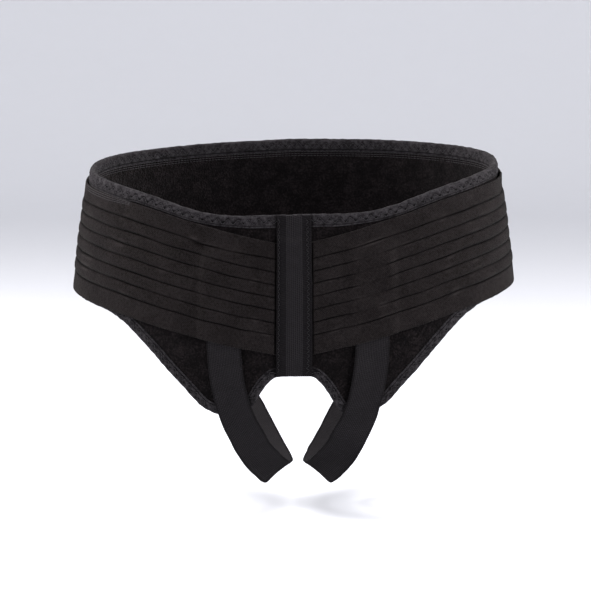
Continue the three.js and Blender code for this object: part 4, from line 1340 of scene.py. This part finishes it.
def strap_places(pattern, side):
    """Places of a strap's middle line, with the way it faces and how far its edges bend back."""
    sizes, hips = pattern.sizes, pattern.hips
    half, high = sizes.webbing_width / 2, pattern.strap_middle
    (_, front_top), (_, back_top) = pattern.strap_ends(side)
    middles, faces, bends = [], [], []

    def on_body(along, level):
        middle, face = hips.lay(along, level, high), hips.face(along, level)
        edges = (hips.lay(along + half, level, high) + hips.lay(along - half, level, high)) / 2
        middles.append(middle)
        faces.append(face)
        bends.append([float(np.dot(middle - edges, face))])

    for row in STRAP_FRONT_RUN:
        level = front_top + (pattern.lobe_level - front_top) * row["down"]
        on_body(side * sizes.strap_along * row["out"] + sizes.worn_shift, level)
    crotch_along = (sizes.webbing_width + sizes.crotch_gap) / 2
    for row in STRAP_UNDER_RUN:
        x = side * (crotch_along + (sizes.strap_along - crotch_along) * row["out"]) + sizes.worn_shift
        y = row["fore"] * (sizes.hip_front if row["fore"] < 0 else sizes.hip_back)
        middles.append(np.array([x, y, pattern.lobe_level - sizes.crotch_drop * row["fall"]]))
        faces.append(unit(np.array([-side * row["face_in"], row["face_fore"], -row["face_down"]])))
        bends.append([0.0])
    for row in STRAP_BACK_RUN:
        level = back_top + (pattern.lobe_level - back_top) * row["down"]
        on_body(side * (hips.half_girth - sizes.strap_back_along * row["out"]) - sizes.worn_shift, level)
    return np.array(middles), np.array(faces), np.array(bends)


def strap_stations(pattern, side, pitch):
    """Evenly spaced places along a strap: its middle, the ways across it and out of it, its bend there
    and the distance from its front end."""
    middles, faces, bends = strap_places(pattern, side)
    fine = np.linspace(0, 1, STRAP_SAMPLES)
    line = spline_at(middles, fine, True)
    length = np.concatenate([[0.0], np.cumsum(np.linalg.norm(np.diff(line, axis=0), axis=1))])
    run = np.linspace(0, length[-1], int(length[-1] / pitch))
    share = np.interp(run, length, fine)
    middle = spline_at(middles, share, True)
    forward = unit(np.gradient(middle, axis=0))
    across_way = unit(np.cross(spline_at(faces, share, False), forward))
    return middle, across_way, np.cross(forward, across_way), spline_at(bends, share, False), run[:, None]


def strap_ribs(sizes, across):
    """Height of a leg strap's ribs, from 0 to 1, with plain edges."""
    plain_edge = 0.0016
    ribbed = fall(np.abs(across), sizes.webbing_width / 2 - plain_edge, 0.0006)
    return ribbed * (1 + np.cos(math.tau * across / sizes.strap_rib_pitch)) / 2


def make_leg_strap(sizes, colours, side, name, node_name):
    """One strap from under the band at the front, between the legs, to under the band at the back. Its
    edges curl a little between the legs, and its inner edge stands off the groin."""
    pattern = Pattern(sizes)
    middle, across_way, face, bend, run = strap_stations(pattern, side, PITCH["strap"])
    half, length = sizes.webbing_width / 2, float(run[-1, 0])
    rib_height = 0.72 * sizes.rib_depth
    outline = webbing_outline(sizes, COLUMNS["strap"], lambda x: rib_height * strap_ribs(sizes, x))
    across, height = outline[None, :, 0], outline[None, :, 1]
    share = across / half
    between_legs = ramp(run, 0.17, 0.06) * fall(run, length - 0.2, 0.06)
    curl = 0.0011 * between_legs * share**2
    at_groin = ramp(run, 0.073, 0.02) * fall(run, 0.155, 0.03)
    lift = sizes.strap_lift * at_groin * fall(side * share, 0.3, 1.2)
    soft = np.abs(0.0001 * ripple(across, run, STRAP_REPEAT, "strap_face", side))
    wander = 0.0002 * share * ripple(run, 0 * run, STRAP_REPEAT, "strap_edge", side)
    rise = height - bend * share**2 + curl + lift + np.where(height > 0, soft, 0.0)
    sideways = across_way[:, None] * (across + wander)[..., None]
    places = middle[:, None] + sideways + face[:, None] * rise[..., None]
    material = webbing_material(colours, "strap_webbing", brightness=0.92)
    # Painted highlight on the rib crests.
    shades = {"rib_highlight": strap_ribs(sizes, across)}
    piece = cloth_from_grid(name, places, run, outline_length(outline)[None, :], material, 60, shades)
    own(piece, node_name)


def make_band_stitching(sizes, colours):
    """Three rows of stitches that hold the band's top edge down round the left side and the back, a short
    row across each end of them, and the same rows where they come out inside the panel."""
    pattern = Pattern(sizes)
    hips = pattern.hips
    insets, above_band, below_panel = (0.001, 0.0028, 0.0046), 0.0004, 0.0003
    first, last = -sizes.sewn_from, -(hips.girth - sizes.sewn_to)
    count = int((first - last) / sizes.seam_stitch)
    rows = [np.linspace([first, inset], [last, inset], count) for inset in insets]
    rows += [np.linspace([end, insets[0]], [end, insets[-1]], 4) for end in (first, last)]
    lines = []
    for row in rows:
        along = np.where(row[:, 0] < -hips.half_girth, row[:, 0] + hips.girth, row[:, 0])
        closing = 0.6 + 0.4 * fall(row[:, 0], first, 0.03)
        level = pattern.band_top(along) - row[:, 1] * closing
        face = hips.face(along, level)
        lines.append((hips.lay(along, level, pattern.band_high + above_band), face))
        lines.append((hips.lay(along, level, pattern.panel_low - below_panel), -face))
    stitches = sew("band_stitching", lines, sizes.thread, thread_material(colours))
    own(stitches, None)


def aim(piece, place):
    """Turns a lamp or the camera towards a place."""
    way = np.array(place) - np.array(piece.location)
    piece.rotation_euler = (
        math.atan2(math.hypot(way[0], way[1]), -way[2]),
        0.0,
        math.atan2(-way[0], way[1]),
    )


def make_floor(stage, colours):
    """A round floor that curves up into a low wall, the same from every side."""
    around, outwards = FLOOR_POINTS["around"], FLOOR_POINTS["outwards"]
    clean_selection()
    bpy.ops.mesh.primitive_grid_add(x_subdivisions=around - 1, y_subdivisions=outwards - 1, size=1)
    floor = bpy.context.object
    floor.name = "floor"
    turn = np.linspace(0, math.tau, around)[None, :]
    out = np.linspace(0.0, stage.floor_radius + WALL_RUN, outwards)[:, None]
    bend = np.clip((out - stage.floor_radius) / stage.wall_bend, 0, math.pi / 2)
    up = np.maximum(out - stage.floor_radius - stage.wall_bend * math.pi / 2, 0)
    radius = np.minimum(out, stage.floor_radius) + stage.wall_bend * np.sin(bend)
    height = CAD_BOUNDS[0][2] - stage.floor_drop + stage.wall_bend * (1 - np.cos(bend)) + up
    places = np.stack([radius * np.cos(turn), radius * np.sin(turn), height + 0 * turn], axis=-1)
    floor.data.vertices.foreach_set("co", places.reshape(-1).astype(np.float32))
    bpy.ops.object.mode_set(mode="EDIT")
    bpy.ops.mesh.select_all(action="SELECT")
    bpy.ops.mesh.remove_doubles(threshold=1e-5)
    bpy.ops.object.mode_set(mode="OBJECT")
    bpy.ops.object.shade_smooth()
    floor.data.materials.append(floor_material(stage, colours))


def make_stage(stage, colours):
    make_floor(stage, colours)
    world = bpy.data.worlds.new("soft_room")
    bpy.context.scene.world = world
    world.use_nodes = True
    sky = world.node_tree.nodes["Background"]
    sky.inputs["Color"].default_value = SKY_COLOUR
    sky.inputs["Strength"].default_value = stage.room_light
    for row in LAMPS:
        bpy.ops.object.light_add(type="AREA", location=row["place"])
        lamp = bpy.context.object
        lamp.name = row["name"]
        lamp.data.shape = "DISK"
        lamp.data.size = row["size"]
        lamp.data.energy = stage.key_power * row["share"]
        lamp.data.color = row["colour"]
        lamp.visible_camera = False
        aim(lamp, (0.0, 0.0, 0.0))

    elevation = math.radians(stage.elevation)
    centre = (stage.aim_x, 0.0, 0.0)
    place = (stage.aim_x, -stage.distance * math.cos(elevation), stage.distance * math.sin(elevation))
    bpy.ops.object.camera_add(location=place)
    camera = bpy.context.object
    camera.name = "camera"
    camera.data.sensor_width = SENSOR_WIDTH
    camera.data.lens = SENSOR_WIDTH * stage.distance / stage.view_width
    aim(camera, centre)
    bpy.context.scene.camera = camera
    bpy.context.scene.view_settings.view_transform = "Standard"


class BELT_OT_hip_panel(bpy.types.Operator):
    """Add the plush hip panel with its groin lobes"""

    bl_idname = "belt.hip_panel"
    bl_label = "Hip Panel"

    def execute(self, context):
        make_hip_panel(context.scene.belt_sizes, context.scene.belt_colours)
        return {"FINISHED"}


class BELT_OT_tapes(bpy.types.Operator):
    """Add the two binding tapes with their zigzag stitching"""

    bl_idname = "belt.tapes"
    bl_label = "Binding Tapes"

    def execute(self, context):
        sizes, colours = context.scene.belt_sizes, context.scene.belt_colours
        make_tape(sizes, colours, "top_tape", "top_binding", True)
        make_tape(sizes, colours, "lower_tape", "lower_binding", False)
        return {"FINISHED"}


class BELT_OT_elastic_band(bpy.types.Operator):
    """Add the grooved elastic band and the stitching along its top edge"""

    bl_idname = "belt.elastic_band"
    bl_label = "Elastic Band"

    def execute(self, context):
        make_elastic_band(context.scene.belt_sizes, context.scene.belt_colours)
        make_band_stitching(context.scene.belt_sizes, context.scene.belt_colours)
        return {"FINISHED"}


class BELT_OT_centre_strip(bpy.types.Operator):
    """Add the ribbed strip at the front"""

    bl_idname = "belt.centre_strip"
    bl_label = "Centre Strip"

    def execute(self, context):
        make_centre_strip(context.scene.belt_sizes, context.scene.belt_colours)
        return {"FINISHED"}


class BELT_OT_leg_straps(bpy.types.Operator):
    """Add the two leg straps"""

    bl_idname = "belt.leg_straps"
    bl_label = "Leg Straps"

    def execute(self, context):
        sizes, colours = context.scene.belt_sizes, context.scene.belt_colours
        make_leg_strap(sizes, colours, -1, "strap_left", "leg_strap_left")
        make_leg_strap(sizes, colours, 1, "strap_right", "leg_strap_right")
        return {"FINISHED"}


class BELT_OT_stage(bpy.types.Operator):
    """Add the floor, the lamps and the camera"""

    bl_idname = "belt.stage"
    bl_label = "Stage"

    def execute(self, context):
        make_stage(context.scene.belt_stage, context.scene.belt_colours)
        return {"FINISHED"}


class BELT_PT_panel(bpy.types.Panel):
    """Sizes, colours and steps of the belt"""

    bl_idname = "BELT_PT_panel"
    bl_label = "Hernia Belt"
    bl_space_type = "VIEW_3D"
    bl_region_type = "UI"
    bl_category = "Belt"

    def draw(self, context):
        layout = self.layout
        for group in (context.scene.belt_sizes, context.scene.belt_colours, context.scene.belt_stage):
            box = layout.box()
            for name in group.__annotations__:
                box.prop(group, name)
        for operator in OPERATORS:
            layout.operator(operator.bl_idname)


OPERATORS = (
    BELT_OT_hip_panel,
    BELT_OT_tapes,
    BELT_OT_elastic_band,
    BELT_OT_centre_strip,
    BELT_OT_leg_straps,
    BELT_OT_stage,
)
CLASSES = (BeltSizes, BeltColours, BeltStage, *OPERATORS, BELT_PT_panel)


def register():
    for cls in CLASSES:
        bpy.utils.register_class(cls)
    bpy.types.Scene.belt_sizes = PointerProperty(type=BeltSizes)
    bpy.types.Scene.belt_colours = PointerProperty(type=BeltColours)
    bpy.types.Scene.belt_stage = PointerProperty(type=BeltStage)


def unregister():
    del bpy.types.Scene.belt_stage
    del bpy.types.Scene.belt_colours
    del bpy.types.Scene.belt_sizes
    for cls in reversed(CLASSES):
        bpy.utils.unregister_class(cls)


def main():
    register()
    bpy.ops.belt.hip_panel()
    bpy.ops.belt.tapes()
    bpy.ops.belt.elastic_band()
    bpy.ops.belt.centre_strip()
    bpy.ops.belt.leg_straps()
    bpy.ops.belt.stage()


if __name__ == "__main__":
    main()
